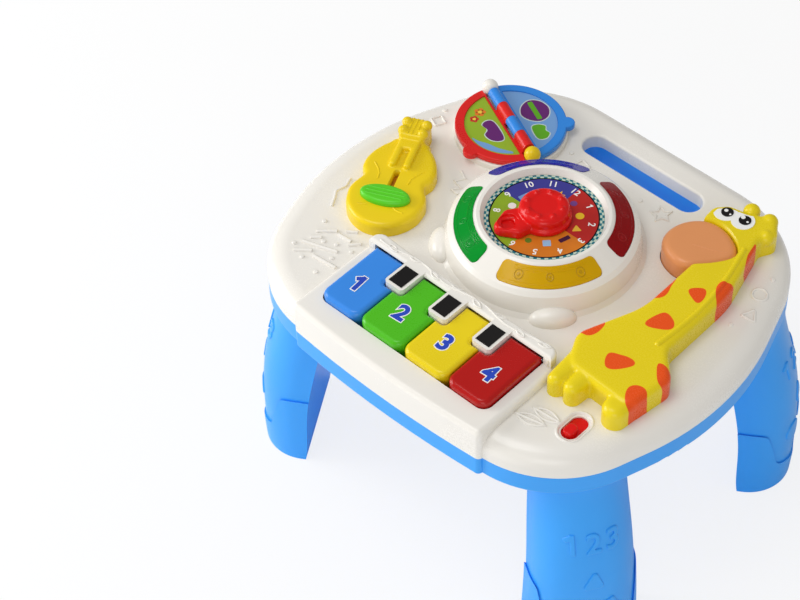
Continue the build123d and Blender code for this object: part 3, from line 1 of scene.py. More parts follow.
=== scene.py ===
# %% [markdown]
# # A toddler's activity table
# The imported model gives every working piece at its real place. This lesson keeps the pieces whose shape is
# already right and gives them moulded-plastic finishes. It models those that need softer forms: the giraffe
# and its muzzle, the clock's hand, the guitar, the prints, the deck's brim and the raised figures.

# %% load the frame
import json
import math

import bmesh
import bpy
from mathutils import Matrix, Vector
from mathutils.bvhtree import BVHTree


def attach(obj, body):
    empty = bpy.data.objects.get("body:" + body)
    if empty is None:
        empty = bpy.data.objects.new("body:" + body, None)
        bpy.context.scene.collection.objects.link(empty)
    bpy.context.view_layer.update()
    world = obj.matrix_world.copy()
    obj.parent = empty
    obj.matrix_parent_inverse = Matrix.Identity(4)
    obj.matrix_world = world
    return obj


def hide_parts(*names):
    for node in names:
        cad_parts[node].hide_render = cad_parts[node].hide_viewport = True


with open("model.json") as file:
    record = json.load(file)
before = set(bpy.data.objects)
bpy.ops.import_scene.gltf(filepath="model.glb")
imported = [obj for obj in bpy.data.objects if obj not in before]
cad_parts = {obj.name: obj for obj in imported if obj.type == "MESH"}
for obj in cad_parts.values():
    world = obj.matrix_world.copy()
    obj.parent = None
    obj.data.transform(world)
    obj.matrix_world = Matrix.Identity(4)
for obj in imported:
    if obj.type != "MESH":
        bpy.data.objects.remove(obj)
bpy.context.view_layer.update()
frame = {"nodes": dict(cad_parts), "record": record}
nodes = frame["nodes"]
MM = 0.001
print("nodes in the frame:", len(nodes))

# %% [markdown]
# ## Camera
# The photograph was taken from the front right and from well above, with a long lens. The table
# stands right of the middle of the frame, so the lens is shifted and the camera isn't turned.

# %% camera
CAMERA_PLACE = (0.6915, -0.8158, 1.3336)
CAMERA_TILT = (42.035, -0.824, 41.333)
LENS = 97.03
SENSOR = 36.0
SHIFT = (-0.1575, 0.0126)
FARTHEST = 20.0


def active(name):
    """The object that an operator has just made active, with its name."""
    made = bpy.context.object
    made.name = name
    return made


bpy.ops.object.select_all(action="DESELECT")
bpy.ops.object.camera_add(location=CAMERA_PLACE, rotation=[math.radians(angle) for angle in CAMERA_TILT])
camera = active("photo_camera")
camera.data.lens = LENS
camera.data.sensor_width = SENSOR
camera.data.shift_x, camera.data.shift_y = SHIFT
camera.data.clip_end = FARTHEST
scene = bpy.context.scene
scene.camera = camera
scene.view_settings.view_transform = "Standard"
print("camera lens:", LENS, "mm")

# %% [markdown]
# ## Shader helpers
# Shader maths reads best as plain sums. `Socket` wraps a node's output, so that `1 - mask` or
# `noise * 0.2 + 0.3` adds the Math nodes by itself. `Finish` makes a material and any other node.

# %% sockets
class Socket:
    """A node's output that can be added, subtracted, multiplied and compared."""

    def __init__(self, finish, output):
        self.finish = finish
        self.output = output

    def maths(self, operation, *values):
        return self.finish.node("ShaderNodeMath", {"operation": operation}, dict(enumerate(values)))

    def __add__(self, other):
        return self.maths("ADD", self, other)

    def __sub__(self, other):
        return self.maths("SUBTRACT", self, other)

    def __mul__(self, other):
        return self.maths("MULTIPLY", self, other)

    def __rsub__(self, other):
        return self.maths("SUBTRACT", other, self)

    def __lt__(self, other):
        return self.maths("LESS_THAN", self, other)

    def __gt__(self, other):
        return self.maths("GREATER_THAN", self, other)

    __radd__ = __add__
    __rmul__ = __mul__


class Finish:
    """A material whose nodes are made by one method."""

    def __init__(self, name):
        self.material = bpy.data.materials.new(name)
        self.material.use_nodes = True
        self.tree = self.material.node_tree
        self.shader = self.tree.nodes["Principled BSDF"]

    def node(self, kind, settings=None, inputs=None, output=0):
        made = self.tree.nodes.new(kind)
        for key, value in (settings or {}).items():
            setattr(made, key, value)
        for key, value in (inputs or {}).items():
            self.feed(made.inputs[key], value)
        return Socket(self, made.outputs[output])

    def feed(self, entry, value):
        if isinstance(value, Socket):
            self.tree.links.new(value.output, entry)
        else:
            entry.default_value = value

    def set(self, **values):
        for key, value in values.items():
            self.feed(self.shader.inputs[key.replace("_", " ")], value)

    def place(self):
        return self.node("ShaderNodeTexCoord", output="Object")

    def noise(self, scale, detail=2.0, output="Fac"):
        inputs = {"Vector": self.place(), "Scale": scale, "Detail": detail}
        return self.node("ShaderNodeTexNoise", {}, inputs, output)

    def mix(self, factor, first, second):
        return self.node("ShaderNodeMix", {"data_type": "RGBA"}, {0: factor, 6: first, 7: second}, output=2)

    def mapped(self, vector, **inputs):
        """The two floor-plane values of a vector, after it is moved, turned and scaled."""
        settings = {"vector_type": "TEXTURE"}
        there = self.node("ShaderNodeMapping", settings, {"Vector": vector, **inputs})
        return [self.node("ShaderNodeSeparateXYZ", {}, {0: there}, output=axis) for axis in ("X", "Y")]

    def bump(self, height, distance, strength):
        inputs = {"Height": height, "Distance": distance, "Strength": strength}
        return self.node("ShaderNodeBump", {}, inputs)


print("shader helpers:", Socket.__name__, "and", Finish.__name__)

# %% [markdown]
# ## Finishes
# Toy plastic is never one flat colour: the pigment drifts a little, and the gloss is broken by a fine
# moulding texture and light handling. Three noises do this: clouds, a skin and specks.

# %% moulded plastic
CLOUDS = 14.0
SKIN = 260.0
SPECKS = 900.0
SKIN_DEPTH = 0.00006
SKIN_STRENGTH = 0.12
COAT_ROUGHNESS = 0.12
GLOSS = 0.36


def linear(rgb):
    """Screen colour from 0 to 255, as the linear colour that shaders use."""
    values = [channel / 255.0 for channel in rgb]
    return tuple(v / 12.92 if v <= 0.04045 else ((v + 0.055) / 1.055) ** 2.4 for v in values) + (1.0,)


def shaded(rgb, factor):
    """The same colour made lighter or darker."""
    return tuple(min(255.0, channel * factor) for channel in rgb)


def moulded(name, rgb, rough=0.26, drift=0.05, coat=0.0, grain=1.0):
    """Injection-moulded plastic: drifting pigment, uneven gloss and a fine orange-peel skin."""
    finish = Finish(name)
    cloud = finish.noise(CLOUDS, 3.0)
    speck = finish.noise(SPECKS)
    finish.colour = finish.mix(cloud, linear(shaded(rgb, 1 - drift)), linear(shaded(rgb, 1 + drift * 0.5)))
    skin = finish.noise(SKIN) * 0.6 + speck * 0.4
    finish.set(Base_Color=finish.colour, Roughness=cloud * 0.10 + speck * 0.06 + (rough - 0.08))
    finish.set(Normal=finish.bump(skin, SKIN_DEPTH * grain, SKIN_STRENGTH))
    finish.set(Coat_Weight=coat, Coat_Roughness=COAT_ROUGHNESS, Specular_IOR_Level=GLOSS)
    return finish


def clear_tint(name, rgb, clearness):
    """Clear coloured plastic that bends light only a little."""
    finish = moulded(name, rgb, rough=0.16, drift=0.08)
    finish.set(Transmission_Weight=clearness, IOR=1.3)
    return finish


def metal(name, rgb, rough):
    """Plated steel with a brushed unevenness."""
    finish = Finish(name)
    cloud = finish.noise(120.0, 4.0)
    finish.set(Base_Color=finish.mix(cloud, linear(shaded(rgb, 0.85)), linear(rgb)), Metallic=1.0)
    finish.set(Roughness=cloud * 0.2 + rough)
    return finish


print("white as a shader sees it:", [round(value, 3) for value in linear((240, 236, 228))])

# %% [markdown]
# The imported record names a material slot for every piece. Each slot gets its finish here, and the few
# pieces that need more, such as the dial and the page prints, are painted again in their own steps.

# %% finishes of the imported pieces
GIRAFFE_YELLOW = (238, 214, 22)
KEY_TINTS = {"blue": ((58, 140, 232), 0.26), "green": ((80, 190, 28), 0.28),
             "yellow": ((236, 210, 20), 0.28), "red": ((182, 20, 16), 0.26)}
WINDOW_TINTS = {"red": (206, 30, 34), "blue": (66, 60, 226), "green": (12, 190, 62), "amber": (255, 196, 8)}
WINDOW_CLEARNESS = {"red": 0.6, "blue": 0.6, "green": 0.5, "amber": 0.35}

FINISHES = {
    "white_shell": moulded("white_shell_plastic", (240, 236, 228), rough=0.26, drift=0.02, coat=0.12),
    "blue_plastic": moulded("leg_blue_plastic", (56, 165, 255), rough=0.34, drift=0.04),
    "black_plastic": moulded("black_inside_plastic", (30, 30, 32), rough=0.5),
    "cell_jacket": moulded("cell_jacket_film", (70, 74, 80), rough=0.4),
    "spring_steel": metal("bright_steel", (190, 190, 194), 0.18),
    "screw_steel": metal("plated_screw", (170, 170, 172), 0.25),
    "speaker_paper": moulded("speaker_paper", (45, 45, 46), rough=0.8, grain=4.0),
    "magnet_grey": metal("magnet_plate", (130, 130, 134), 0.35),
    "board_green": moulded("board_lacquer", (40, 120, 70), rough=0.35),
    "lamp_clear": clear_tint("lamp_lens", (245, 245, 238), 0.6),
    "dial_print": moulded("dial_card", (90, 160, 175), rough=0.25),
    "red_plastic": moulded("red_plastic", (224, 18, 16), rough=0.24),
    "grey_rubber": moulded("contact_rubber", (160, 160, 160), rough=0.6),
    "black_label": moulded("black_film", (28, 26, 26), rough=0.32, drift=0.25),
    "yellow_plastic": moulded("ball_yellow_plastic", (240, 205, 25), rough=0.28),
    "page_red_plastic": moulded("page_red_plastic", (222, 34, 30), rough=0.28),
    "print_green": moulded("page_green_film", (140, 190, 80), rough=0.3),
    "page_blue_plastic": moulded("page_blue_plastic", (52, 138, 226), rough=0.26),
    "print_lime": moulded("page_lime_film", (175, 205, 100), rough=0.3),
    "guitar_yellow": moulded("guitar_yellow_plastic", (240, 208, 20), rough=0.28),
    "green_plastic": moulded("slider_green_plastic", (92, 208, 40), rough=0.28),
    "giraffe_yellow": moulded("giraffe_yellow_plastic", GIRAFFE_YELLOW, rough=0.28),
    "white_print": moulded("eye_white_film", (246, 246, 242), rough=0.25, drift=0.02),
    "peach_plastic": moulded("muzzle_peach_plastic", (232, 154, 98), rough=0.3),
}
for colour, (painted_shade, rough) in KEY_TINTS.items():
    name = f"key_{colour}_plastic"
    FINISHES[name] = moulded(name, painted_shade, rough)
for colour, painted_shade in WINDOW_TINTS.items():
    name = f"window_{colour}_clear"
    FINISHES[name] = clear_tint(name, painted_shade, WINDOW_CLEARNESS[colour])


def paint(node, finish):
    """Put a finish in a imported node's slot."""
    mesh = nodes[node].data
    mesh.materials.clear()
    mesh.materials.append(finish.material)


for subpart in frame["record"]["subparts"]:
    paint(subpart["node"], FINISHES[subpart["material_slot"]])
print("finishes:", len(FINISHES))

# %% [markdown]
# ## Drawing outlines
# A flat toy figure starts as an outline, in millimetres. `rounded` turns corners into arcs, `smooth` runs a
# curve through points, and the others give rectangles, arcs and discs.

# %% outline helpers
def ring_place(centre, radius, degrees):
    """Point on a circle."""
    angle = math.radians(degrees)
    return (centre[0] + radius * math.cos(angle), centre[1] + radius * math.sin(angle))


def rectangle(centre, wide, tall):
    """Four corners, counter-clockwise, from half the width and half the height."""
    x, y = centre
    return [(x - wide, y - tall), (x + wide, y - tall), (x + wide, y + tall), (x - wide, y + tall)]


def corner_sides(corners, index):
    """A corner, and the directions from it to the corners before and after it."""
    here = Vector(corners[index])
    before = (Vector(corners[index - 1]) - here).normalized()
    after = (Vector(corners[(index + 1) % len(corners)]) - here).normalized()
    return here, before, after


def rounded(corners, bends, steps=8):
    """Closed outline whose corners are arcs, with one radius for all of them or a list."""
    if not isinstance(bends, list):
        bends = [bends] * len(corners)
    points = []
    for index, radius in enumerate(bends):
        here, before, after = corner_sides(corners, index)
        half = before.angle(after) / 2
        centre = here + (before + after).normalized() * (radius / math.sin(half))
        first = here + before * (radius / math.tan(half)) - centre
        last = here + after * (radius / math.tan(half)) - centre
        turn = first.angle_signed(last)
        start = math.atan2(first.y, first.x)
        for step in range(steps + 1):
            angle = start - turn * step / steps
            points.append((centre.x + radius * math.cos(angle), centre.y + radius * math.sin(angle)))
    return points


def smooth(points, steps=6):
    """Closed curve that passes through all the points."""
    drawn = []
    count = len(points)
    for index in range(count):
        a, b, c, d = [Vector(points[(index + offset) % count]) for offset in (-1, 0, 1, 2)]
        for step in range(steps):
            t = step / steps
            drawn.append(tuple(0.5 * (2 * b + (c - a) * t + (2 * a - 5 * b + 4 * c - d) * t * t
                                      + (3 * b - a - 3 * c + d) * t ** 3)))
    return drawn


def arc(centre, radius, start, end, steps=24):
    """Points on an arc from one angle to another, in degrees."""
    return [ring_place(centre, radius, start + (end - start) * step / steps) for step in range(steps + 1)]


def disc(centre, radius, steps=32):
    """Closed circle."""
    return arc(centre, radius, 0, 360 - 360 / steps, steps - 1)


def turned(points, degrees, centre=(0, 0), shift=(0, 0)):
    """The outline turned about a centre and moved."""
    turn = Matrix.Rotation(math.radians(degrees), 2)
    middle = Vector(centre)
    return [tuple(turn @ (Vector(point) - middle) + middle + Vector(shift)) for point in points]


print("points of a rounded square:", len(rounded(rectangle((0, 0), 1, 1), 0.5)))

# %% [markdown]
# ## Raising them
# `slab` fills the outline, pulls it up and rolls its top edge over with a few small insets, which is what a
# mould does to every edge that a child can touch. Top faces are picked by their normal.

# %% slabs
SHARPEST = math.radians(35)


def roll(radius, steps):
    """Inset steps of a rolled top edge: pairs of inwards and up."""
    angles = [math.pi / 2 * step / steps for step in range(steps + 1)]
    return [(radius * (math.cos(a) - math.cos(b)), radius * (math.sin(b) - math.sin(a)))
            for a, b in zip(angles, angles[1:])]


def pick_top(piece):
    """In edit mode, select the faces that look up."""
    mesh = bmesh.from_edit_mesh(piece.data)
    for face in mesh.faces:
        face.select_set(False)
    for face in mesh.faces:
        if face.normal.z > 0.9:
            face.select_set(True)
    bmesh.update_edit_mesh(piece.data)


def slab(name, points, low, high, edge=0.0, steps=5):
    """Filled outline raised from one height to another, with a rolled top edge."""
    bpy.ops.object.select_all(action="DESELECT")
    bpy.ops.mesh.primitive_circle_add(vertices=len(points), fill_type="NGON")
    piece = active(name)
    for vertex, (x, y) in zip(piece.data.vertices, points):
        vertex.co = (x * MM, y * MM, low * MM)
    shoulder = (high - edge) * MM
    bpy.ops.object.mode_set(mode="EDIT")
    bpy.ops.mesh.select_mode(type="FACE")
    bpy.ops.mesh.select_all(action="SELECT")
    bpy.ops.mesh.extrude_region_move(TRANSFORM_OT_translate={"value": (0, 0, shoulder - low * MM)})
    bpy.ops.mesh.select_all(action="SELECT")
    bpy.ops.mesh.normals_make_consistent(inside=False)
    pick_top(piece)
    if edge:
        for inwards, up in roll(edge, steps):
            bpy.ops.mesh.inset(thickness=inwards * MM, depth=up * MM)
    bpy.ops.object.mode_set(mode="OBJECT")
    bpy.ops.object.shade_smooth_by_angle(angle=SHARPEST)
    return piece


print("steps of a rolled edge:", len(roll(1.0, 5)))

# %% [markdown]
# ## Joining and cutting
# A moulding is one skin. Its parts are joined, a voxel remesh runs them together, and a little smoothing
# softens the corners. Bays and holes are cut afterwards, so that their edges stay crisp.

# %% moulding helpers
def modify(piece, kind, **settings):
    """Add a modifier, set it and apply it."""
    bpy.ops.object.select_all(action="DESELECT")
    piece.select_set(True)
    bpy.context.view_layer.objects.active = piece
    modifier = piece.modifiers.new(kind.lower(), kind)
    for key, value in settings.items():
        setattr(modifier, key, value)
    bpy.ops.object.modifier_apply(modifier=modifier.name)


def melt(piece, grain, passes):
    """Run joined parts together into one skin with soft corners, as a mould does."""
    modify(piece, "REMESH", mode="VOXEL", voxel_size=grain * MM)
    modify(piece, "SMOOTH", factor=0.5, iterations=passes)
    bpy.ops.object.shade_smooth()
    return piece


def join(name, pieces):
    """Several meshes made one."""
    bpy.ops.object.select_all(action="DESELECT")
    for piece in pieces:
        piece.select_set(True)
    bpy.context.view_layer.objects.active = pieces[0]
    if len(pieces) > 1:
        bpy.ops.object.join()
    return active(name)


def cut(piece, tool):
    """Cut one mesh with another, which is used up."""
    modify(piece, "BOOLEAN", object=tool, operation="DIFFERENCE", solver="EXACT")
    bpy.data.objects.remove(tool)


def dress(piece, finish, body="table"):
    """Give a piece its finish and let it move with a body."""
    piece.data.materials.clear()
    piece.data.materials.append(finish.material)
    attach(piece, body)
    return piece


print("moulding helpers: modify, melt, join, cut and dress")

# %% [markdown]
# ## Raised lines
# Raised lines are paths with a round section. `relief` draws one, and `drape` lets any thin piece follow the
# surface under it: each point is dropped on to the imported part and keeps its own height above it.

# %% relief helpers
ABOVE = Vector((0, 0, 0.5))
DOWN = Vector((0, 0, -1))
TREES = {}
COVERS = {}


def relief(name, points, radius, closed=False, height=0.0):
    """Raised line along the points, level at one height, as a mesh."""
    bpy.ops.object.select_all(action="DESELECT")
    bpy.ops.curve.primitive_nurbs_path_add()
    piece = active(name)
    path = piece.data
    path.splines.clear()
    line = path.splines.new("POLY")
    line.points.add(len(points) - 1)
    for place, (x, y) in zip(line.points, points):
        place.co = (x * MM, y * MM, height * MM, 1.0)
    line.use_cyclic_u = closed
    path.dimensions = "3D"
    path.bevel_depth = radius * MM
    path.bevel_resolution = 3
    path.use_fill_caps = True
    bpy.ops.object.convert(target="MESH")
    bpy.ops.object.shade_smooth_by_angle(angle=math.radians(50))
    return piece


def search_tree(mesh):
    """Tree in which a ray finds the mesh's faces."""
    corners = [vertex.co for vertex in mesh.vertices]
    return BVHTree.FromPolygons(corners, [face.vertices for face in mesh.polygons])


def shoot(node, start, direction):
    """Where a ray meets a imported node, or None. The node's search tree is made only once."""
    if node not in TREES:
        TREES[node] = search_tree(nodes[node].data)
    return TREES[node].ray_cast(start, direction)[0]


def height_at(node, x, y):
    """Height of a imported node's surface, or of a piece that covers it, under a point, in metres."""
    start = Vector((x, y, 0)) + ABOVE
    places = [shoot(name, start, DOWN) for name in [node] + COVERS.get(node, [])]
    heights = [place.z for place in places if place]
    return max(heights) if heights else None


def drape(piece, node, lift=0.0):
    """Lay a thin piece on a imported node; points that miss the node stay level with its top."""
    grounds = [height_at(node, vertex.co.x, vertex.co.y) for vertex in piece.data.vertices]
    top = max(ground for ground in grounds if ground is not None)
    for vertex, ground in zip(piece.data.vertices, grounds):
        vertex.co.z += (top if ground is None else ground) + lift * MM
    return piece


print("deck height:", round(height_at("top_shell", 0.05, 0.1), 4), "m")

# %% [markdown]
# ## Letters
# Numbers come from Blender's own font, made solid and turned into meshes. Its figure one is a bare bar, so it
# gets a short flag, a hair thicker than the bar so that their tops don't coincide.

# %% letters
FLAG_REACH = 0.12
FLAG_SIDE = 0.05
FLAG_TURN = 38
FLAG_PLACE = (-0.11, 0.255)
FLAG_BEND = 0.2
FLAG_LIFT = 0.03


def lettering(text, size, fat, thick):
    """Solid mesh of a short text, centred on the origin; sizes in millimetres."""
    bpy.ops.object.select_all(action="DESELECT")
    bpy.ops.object.text_add()
    piece = bpy.context.object
    piece.data.body = text
    piece.data.align_x = "CENTER"
    piece.data.align_y = "CENTER"
    piece.data.size = size * MM
    piece.data.offset = fat * MM
    piece.data.extrude = thick / 2 * MM
    bpy.ops.object.convert(target="MESH")
    piece.data.transform(Matrix.Translation((0, 0, thick / 2 * MM)))
    if text == "1":
        reach = FLAG_REACH * size + fat
        side = FLAG_SIDE * size + fat
        flag = rounded(rectangle((0, 0), reach, side), FLAG_BEND, 2)
        flag = turned(flag, FLAG_TURN, shift=(FLAG_PLACE[0] * size, FLAG_PLACE[1] * size))
        piece = join("figure_one", [piece, slab("figure_flag", flag, 0.0, thick + FLAG_LIFT)])
    return piece


def put(piece, x, y, degrees=0.0, up=0.0):
    """Turn and move a piece's mesh on the floor plane."""
    turn = Matrix.Rotation(math.radians(degrees), 4, "Z")
    piece.data.transform(Matrix.Translation((x * MM, y * MM, up * MM)) @ turn)
    return piece


print("helpers for letters:", lettering.__name__, put.__name__)

# %% [markdown]
# ## The giraffe's spots
# They are sprayed through a mask and run over the edge, so they are drawn in the finish: each spot is an egg
# shape on the floor plane that reaches all the way down the wall. A slow noise wobbles their edges.

# %% giraffe finish
SPOTS = [(124.0, 34.4, 7.2, 5.0, -50), (119.9, -2.9, 10.0, 7.2, -126), (122.5, -49.0, 9.8, 7.2, 30),
         (101.4, 24.8, 12.2, 5.2, 86), (137.5, 47.0, 12.0, 6.2, -68), (88.6, -36.5, 9.5, 5.6, 68),
         (152.0, -37.5, 10.0, 5.6, 150), (150.5, -66.0, 9.6, 6.6, -70), (130.0, 89.0, 14.0, 3.2, 116)]
SPOT_ORANGE = (238, 84, 22)
WOBBLE_SCALE = 60.0
WOBBLE = 0.0035
WOBBLE_MIDDLE = 1.7
EGG = 0.45
ALL_HEIGHTS = 100.0


def spotted(name, skin, spot, spots):
    """Plastic with sprayed spots: each spot is centre, two half lengths and a turn."""
    finish = moulded(name, skin, rough=0.28)
    wobble = finish.noise(WOBBLE_SCALE, 0.0, output="Color")
    shift = finish.node("ShaderNodeVectorMath", {"operation": "SCALE"}, {0: wobble, "Scale": WOBBLE})
    place = finish.node("ShaderNodeVectorMath", {"operation": "ADD"}, {0: finish.place(), 1: shift})
    mask = None
    for x, y, long, wide, degrees in spots:
        middle = ((x + WOBBLE_MIDDLE) * MM, (y + WOBBLE_MIDDLE) * MM, 0)
        along, aside = finish.mapped(place, Location=middle, Rotation=(0, 0, math.radians(degrees)),
                                     Scale=(long * MM, wide * MM, ALL_HEIGHTS))
        aside = aside * (along * EGG + 1.0)
        inside = along * along + aside * aside < 1.0
        mask = inside if mask is None else mask.maths("MAXIMUM", mask, inside)
    finish.set(Base_Color=finish.mix(mask, finish.colour, linear(spot)))
    return finish


GIRAFFE_FINISH = spotted("giraffe_spotted_plastic", GIRAFFE_YELLOW, SPOT_ORANGE, SPOTS)
print("spots:", len(SPOTS))

# %% [markdown]
# ## The giraffe
# On the toy it is one yellow moulding with a flat face, soft edges and a raised rib down the neck. The
# outline, three feet and three round knobs are melted together. The bay for the muzzle is cut after that, and
# the rib is laid on last, because melting would wash it out.

# %% giraffe body
DECK = 208.0
ROOT = 2.0
GIRAFFE_TOP = DECK + 19.0
GIRAFFE_CORNERS = [(78.5, 100), (77.5, 112), (86, 121), (101, 124), (120, 134), (130.5, 119), (124, 107),
                   (139, 52), (139.5, -17), (158.5, -37), (153, -76), (96, -73), (82.5, -47), (101.5, 2),
                   (101, 56), (92, 84)]
GIRAFFE_BENDS = [4.6, 8, 8, 14, 5.5, 7, 5, 90, 15, 10, 11, 12, 14, 60, 4.6, 4.6]
GIRAFFE_EDGE = 4.5
EDGE_STEPS = 7
FEET = [(97.0, 12.5, -91.0), (110.5, 13.0, -90.0), (143.5, 18.5, -87.5)]
FOOT_START = -60.0
FOOT_FLARE = 2.0
FOOT_DROP = 1.5
FOOT_EDGE = 5.6
KNOBS = [(100.0, 129.0, 6.6), (116.0, 129.0, 6.6), (123.5, 115.0, 6.2)]
KNOB_MIDDLE = DECK + 14.0


def ball(name, x, y, z, radius):
    """Round knob; sizes in millimetres."""
    bpy.ops.object.select_all(action="DESELECT")
    bpy.ops.mesh.primitive_uv_sphere_add(segments=28, ring_count=18, radius=radius * MM)
    knob = active(name)
    knob.data.transform(Matrix.Translation((x * MM, y * MM, z * MM)))
    bpy.ops.object.shade_smooth()
    return knob


outline = rounded(GIRAFFE_CORNERS, GIRAFFE_BENDS)
giraffe = [slab("giraffe_figure", outline, DECK - ROOT, GIRAFFE_TOP, GIRAFFE_EDGE, EDGE_STEPS)]
for x, width, tip in FEET:
    radius = width / 2
    root = radius + FOOT_FLARE
    foot = arc((x, tip + radius), radius, 180, 360, 14) + [(x + root, FOOT_START), (x - root, FOOT_START)]
    giraffe.append(slab("giraffe_foot", foot, DECK - ROOT, GIRAFFE_TOP - FOOT_DROP, FOOT_EDGE, EDGE_STEPS))
for x, y, radius in KNOBS:
    giraffe.append(ball("giraffe_knob", x, y, KNOB_MIDDLE, radius))
giraffe_piece = melt(join("giraffe_moulding", giraffe), grain=0.8, passes=14)
print("giraffe faces:", len(giraffe_piece.data.polygons))

# %% [markdown]
# The rib runs down the back in a slight bow, and the muzzle's bay is a drop shape that is a little wider than
# the muzzle itself, because the muzzle moves in it.

# %% giraffe rib and muzzle bay
RIB_ENDS = [(121.0, 92.0), (131.6, -19.0)]
RIB_BOW = 6.5
RIB_RADIUS = 2.6
RIB_STEPS = 24
RIB_HEIGHT = GIRAFFE_TOP - 1.2
MUZZLE = [(66.5, 73.0), (70.5, 61.5), (82.0, 53.8), (96.5, 53.0), (110.5, 64.5), (120.0, 80.0),
          (116.0, 91.0), (105.0, 98.5), (92.0, 101.5), (79.0, 98.0), (69.5, 87.0)]
MUZZLE_MIDDLE = Vector((91.0, 75.0))
MUZZLE_GAP = 0.5
BAY_LOW = DECK - 5.0
BAY_HIGH = DECK + 30.0


def muzzle_line(gap):
    """The muzzle's drop shape, widened by a running gap."""
    arms = [Vector(point) - MUZZLE_MIDDLE for point in MUZZLE]
    return smooth([MUZZLE_MIDDLE + arm * (1 + gap / arm.length) for arm in arms])


first, last = [Vector(end) for end in RIB_ENDS]
rib = []
for step in range(RIB_STEPS + 1):
    share = step / RIB_STEPS
    place = first.lerp(last, share) + Vector((RIB_BOW * math.sin(math.pi * share), 0))
    rib.append((place.x, place.y))
ribs = [relief("giraffe_rib", rib, RIB_RADIUS, height=RIB_HEIGHT)]
ribs.append(ball("giraffe_rib_end", *rib[-1], RIB_HEIGHT, RIB_RADIUS))
cut(giraffe_piece, slab("muzzle_bay", muzzle_line(MUZZLE_GAP), BAY_LOW, BAY_HIGH))
giraffe_piece = dress(join("giraffe_moulding", [giraffe_piece] + ribs), GIRAFFE_FINISH)
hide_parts("giraffe_body")
print("giraffe faces with its rib:", len(giraffe_piece.data.polygons))

# %% [markdown]
# The muzzle is a press button: a thick drop of softer, peach-coloured plastic with a much rounder edge and a
# faint line for the mouth.

# %% muzzle
MUZZLE_TOP = DECK + 17.0
MOUTH = [(90.0, 72.6), (103.0, 77.1), (113.5, 82.0)]
MOUTH_HEIGHT = MUZZLE_TOP - 0.4

muzzle = slab("muzzle_button", muzzle_line(0.0), DECK - 3.0, MUZZLE_TOP, 5.5, 9)
melt(muzzle, grain=0.7, passes=6)
mouth = relief("mouth_line", MOUTH, 0.6, height=MOUTH_HEIGHT)
muzzle = join("muzzle_button", [muzzle, mouth])
dress(muzzle, FINISHES["peach_plastic"], "muzzle")
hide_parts("giraffe_muzzle")
print("muzzle:", [round(size, 4) for size in muzzle.dimensions])

# %% [markdown]
# ## The clock's dial
# A printed card: four coloured quarters, a black line and a checked border. All of it follows from the
# angle and the distance from the middle, so the finish is drawn in polar form and needs no picture.

# %% dial print
CLOCK = (0.0, 14.0)
DIAL_TOP = DECK + 27.0
QUARTERS = [(196, 40, 34), (226, 128, 30), (150, 186, 40), (66, 66, 158)]
QUARTER_SHADE = (40, 30, 40)
LINE_INK = (24, 26, 30)
CHECK_INKS = [(196, 214, 196), (34, 118, 132)]
LINE_START = 38.9
BORDER_START = 40.0
BORDER_ROW = 41.6
CHECKS = 48.0


def dial_finish():
    """Quarters from twelve o'clock clockwise, a black line, and a checked border."""
    finish = moulded("dial_printed_card", (200, 200, 200), rough=0.25)
    x, y = finish.mapped(finish.place(), Location=(CLOCK[0] * MM, CLOCK[1] * MM, 0))
    radius = finish.node("ShaderNodeMath", {"operation": "SQRT"}, {0: x * x + y * y}) * (1 / MM)
    angle = finish.node("ShaderNodeMath", {"operation": "ARCTAN2"}, {0: y, 1: x})
    upper = y > 0.0
    rights = finish.mix(upper, linear(QUARTERS[1]), linear(QUARTERS[0]))
    lefts = finish.mix(upper, linear(QUARTERS[2]), linear(QUARTERS[3]))
    colour = finish.mix(x > 0.0, lefts, rights)
    colour = finish.mix(finish.noise(90.0, 3.0) * 0.25, colour, linear(QUARTER_SHADE))
    checks = finish.node("ShaderNodeMath", {"operation": "SINE"}, {0: angle * CHECKS}) > 0.0
    rows = radius > BORDER_ROW
    odd = checks + rows - checks * rows * 2.0
    border = finish.mix(odd, linear(CHECK_INKS[0]), linear(CHECK_INKS[1]))
    colour = finish.mix(radius > LINE_START, colour, linear(LINE_INK))
    finish.set(Base_Color=finish.mix(radius > BORDER_START, colour, border))
    return finish


paint("clock_dial", dial_finish())
print("dial quarters:", len(QUARTERS))

# %% [markdown]
# The numbers stand with their heads outwards, and plain shapes fill the ring inside them, where a toy
# clock shows small pictures. Each is a wafer a tenth of a millimetre thick, so the pointer passes over it.

# %% dial numbers and shapes
PRINT_WHITE = FINISHES["white_print"]
WAFER = 0.1
NUMBER_RING = 34.3
NUMBER_SIZE = 7.4
NUMBER_FAT = 0.12
SHAPE_RING = 25.6


def star(centre, outer, inner, turn):
    """Five-pointed outline."""
    radii = [outer, inner] * 5
    return [ring_place(centre, radius, turn + 36 * corner) for corner, radius in enumerate(radii)]


def dot(radius):
    """Disc at the origin."""
    return disc((0, 0), radius)


numbers = []
for hour in range(1, 13):
    degrees = 90 - 30 * hour
    number = lettering(str(hour), NUMBER_SIZE, NUMBER_FAT, WAFER)
    numbers.append(put(number, *ring_place(CLOCK, NUMBER_RING, degrees), degrees - 90, DIAL_TOP))
dress(join("dial_numbers", numbers), PRINT_WHITE)

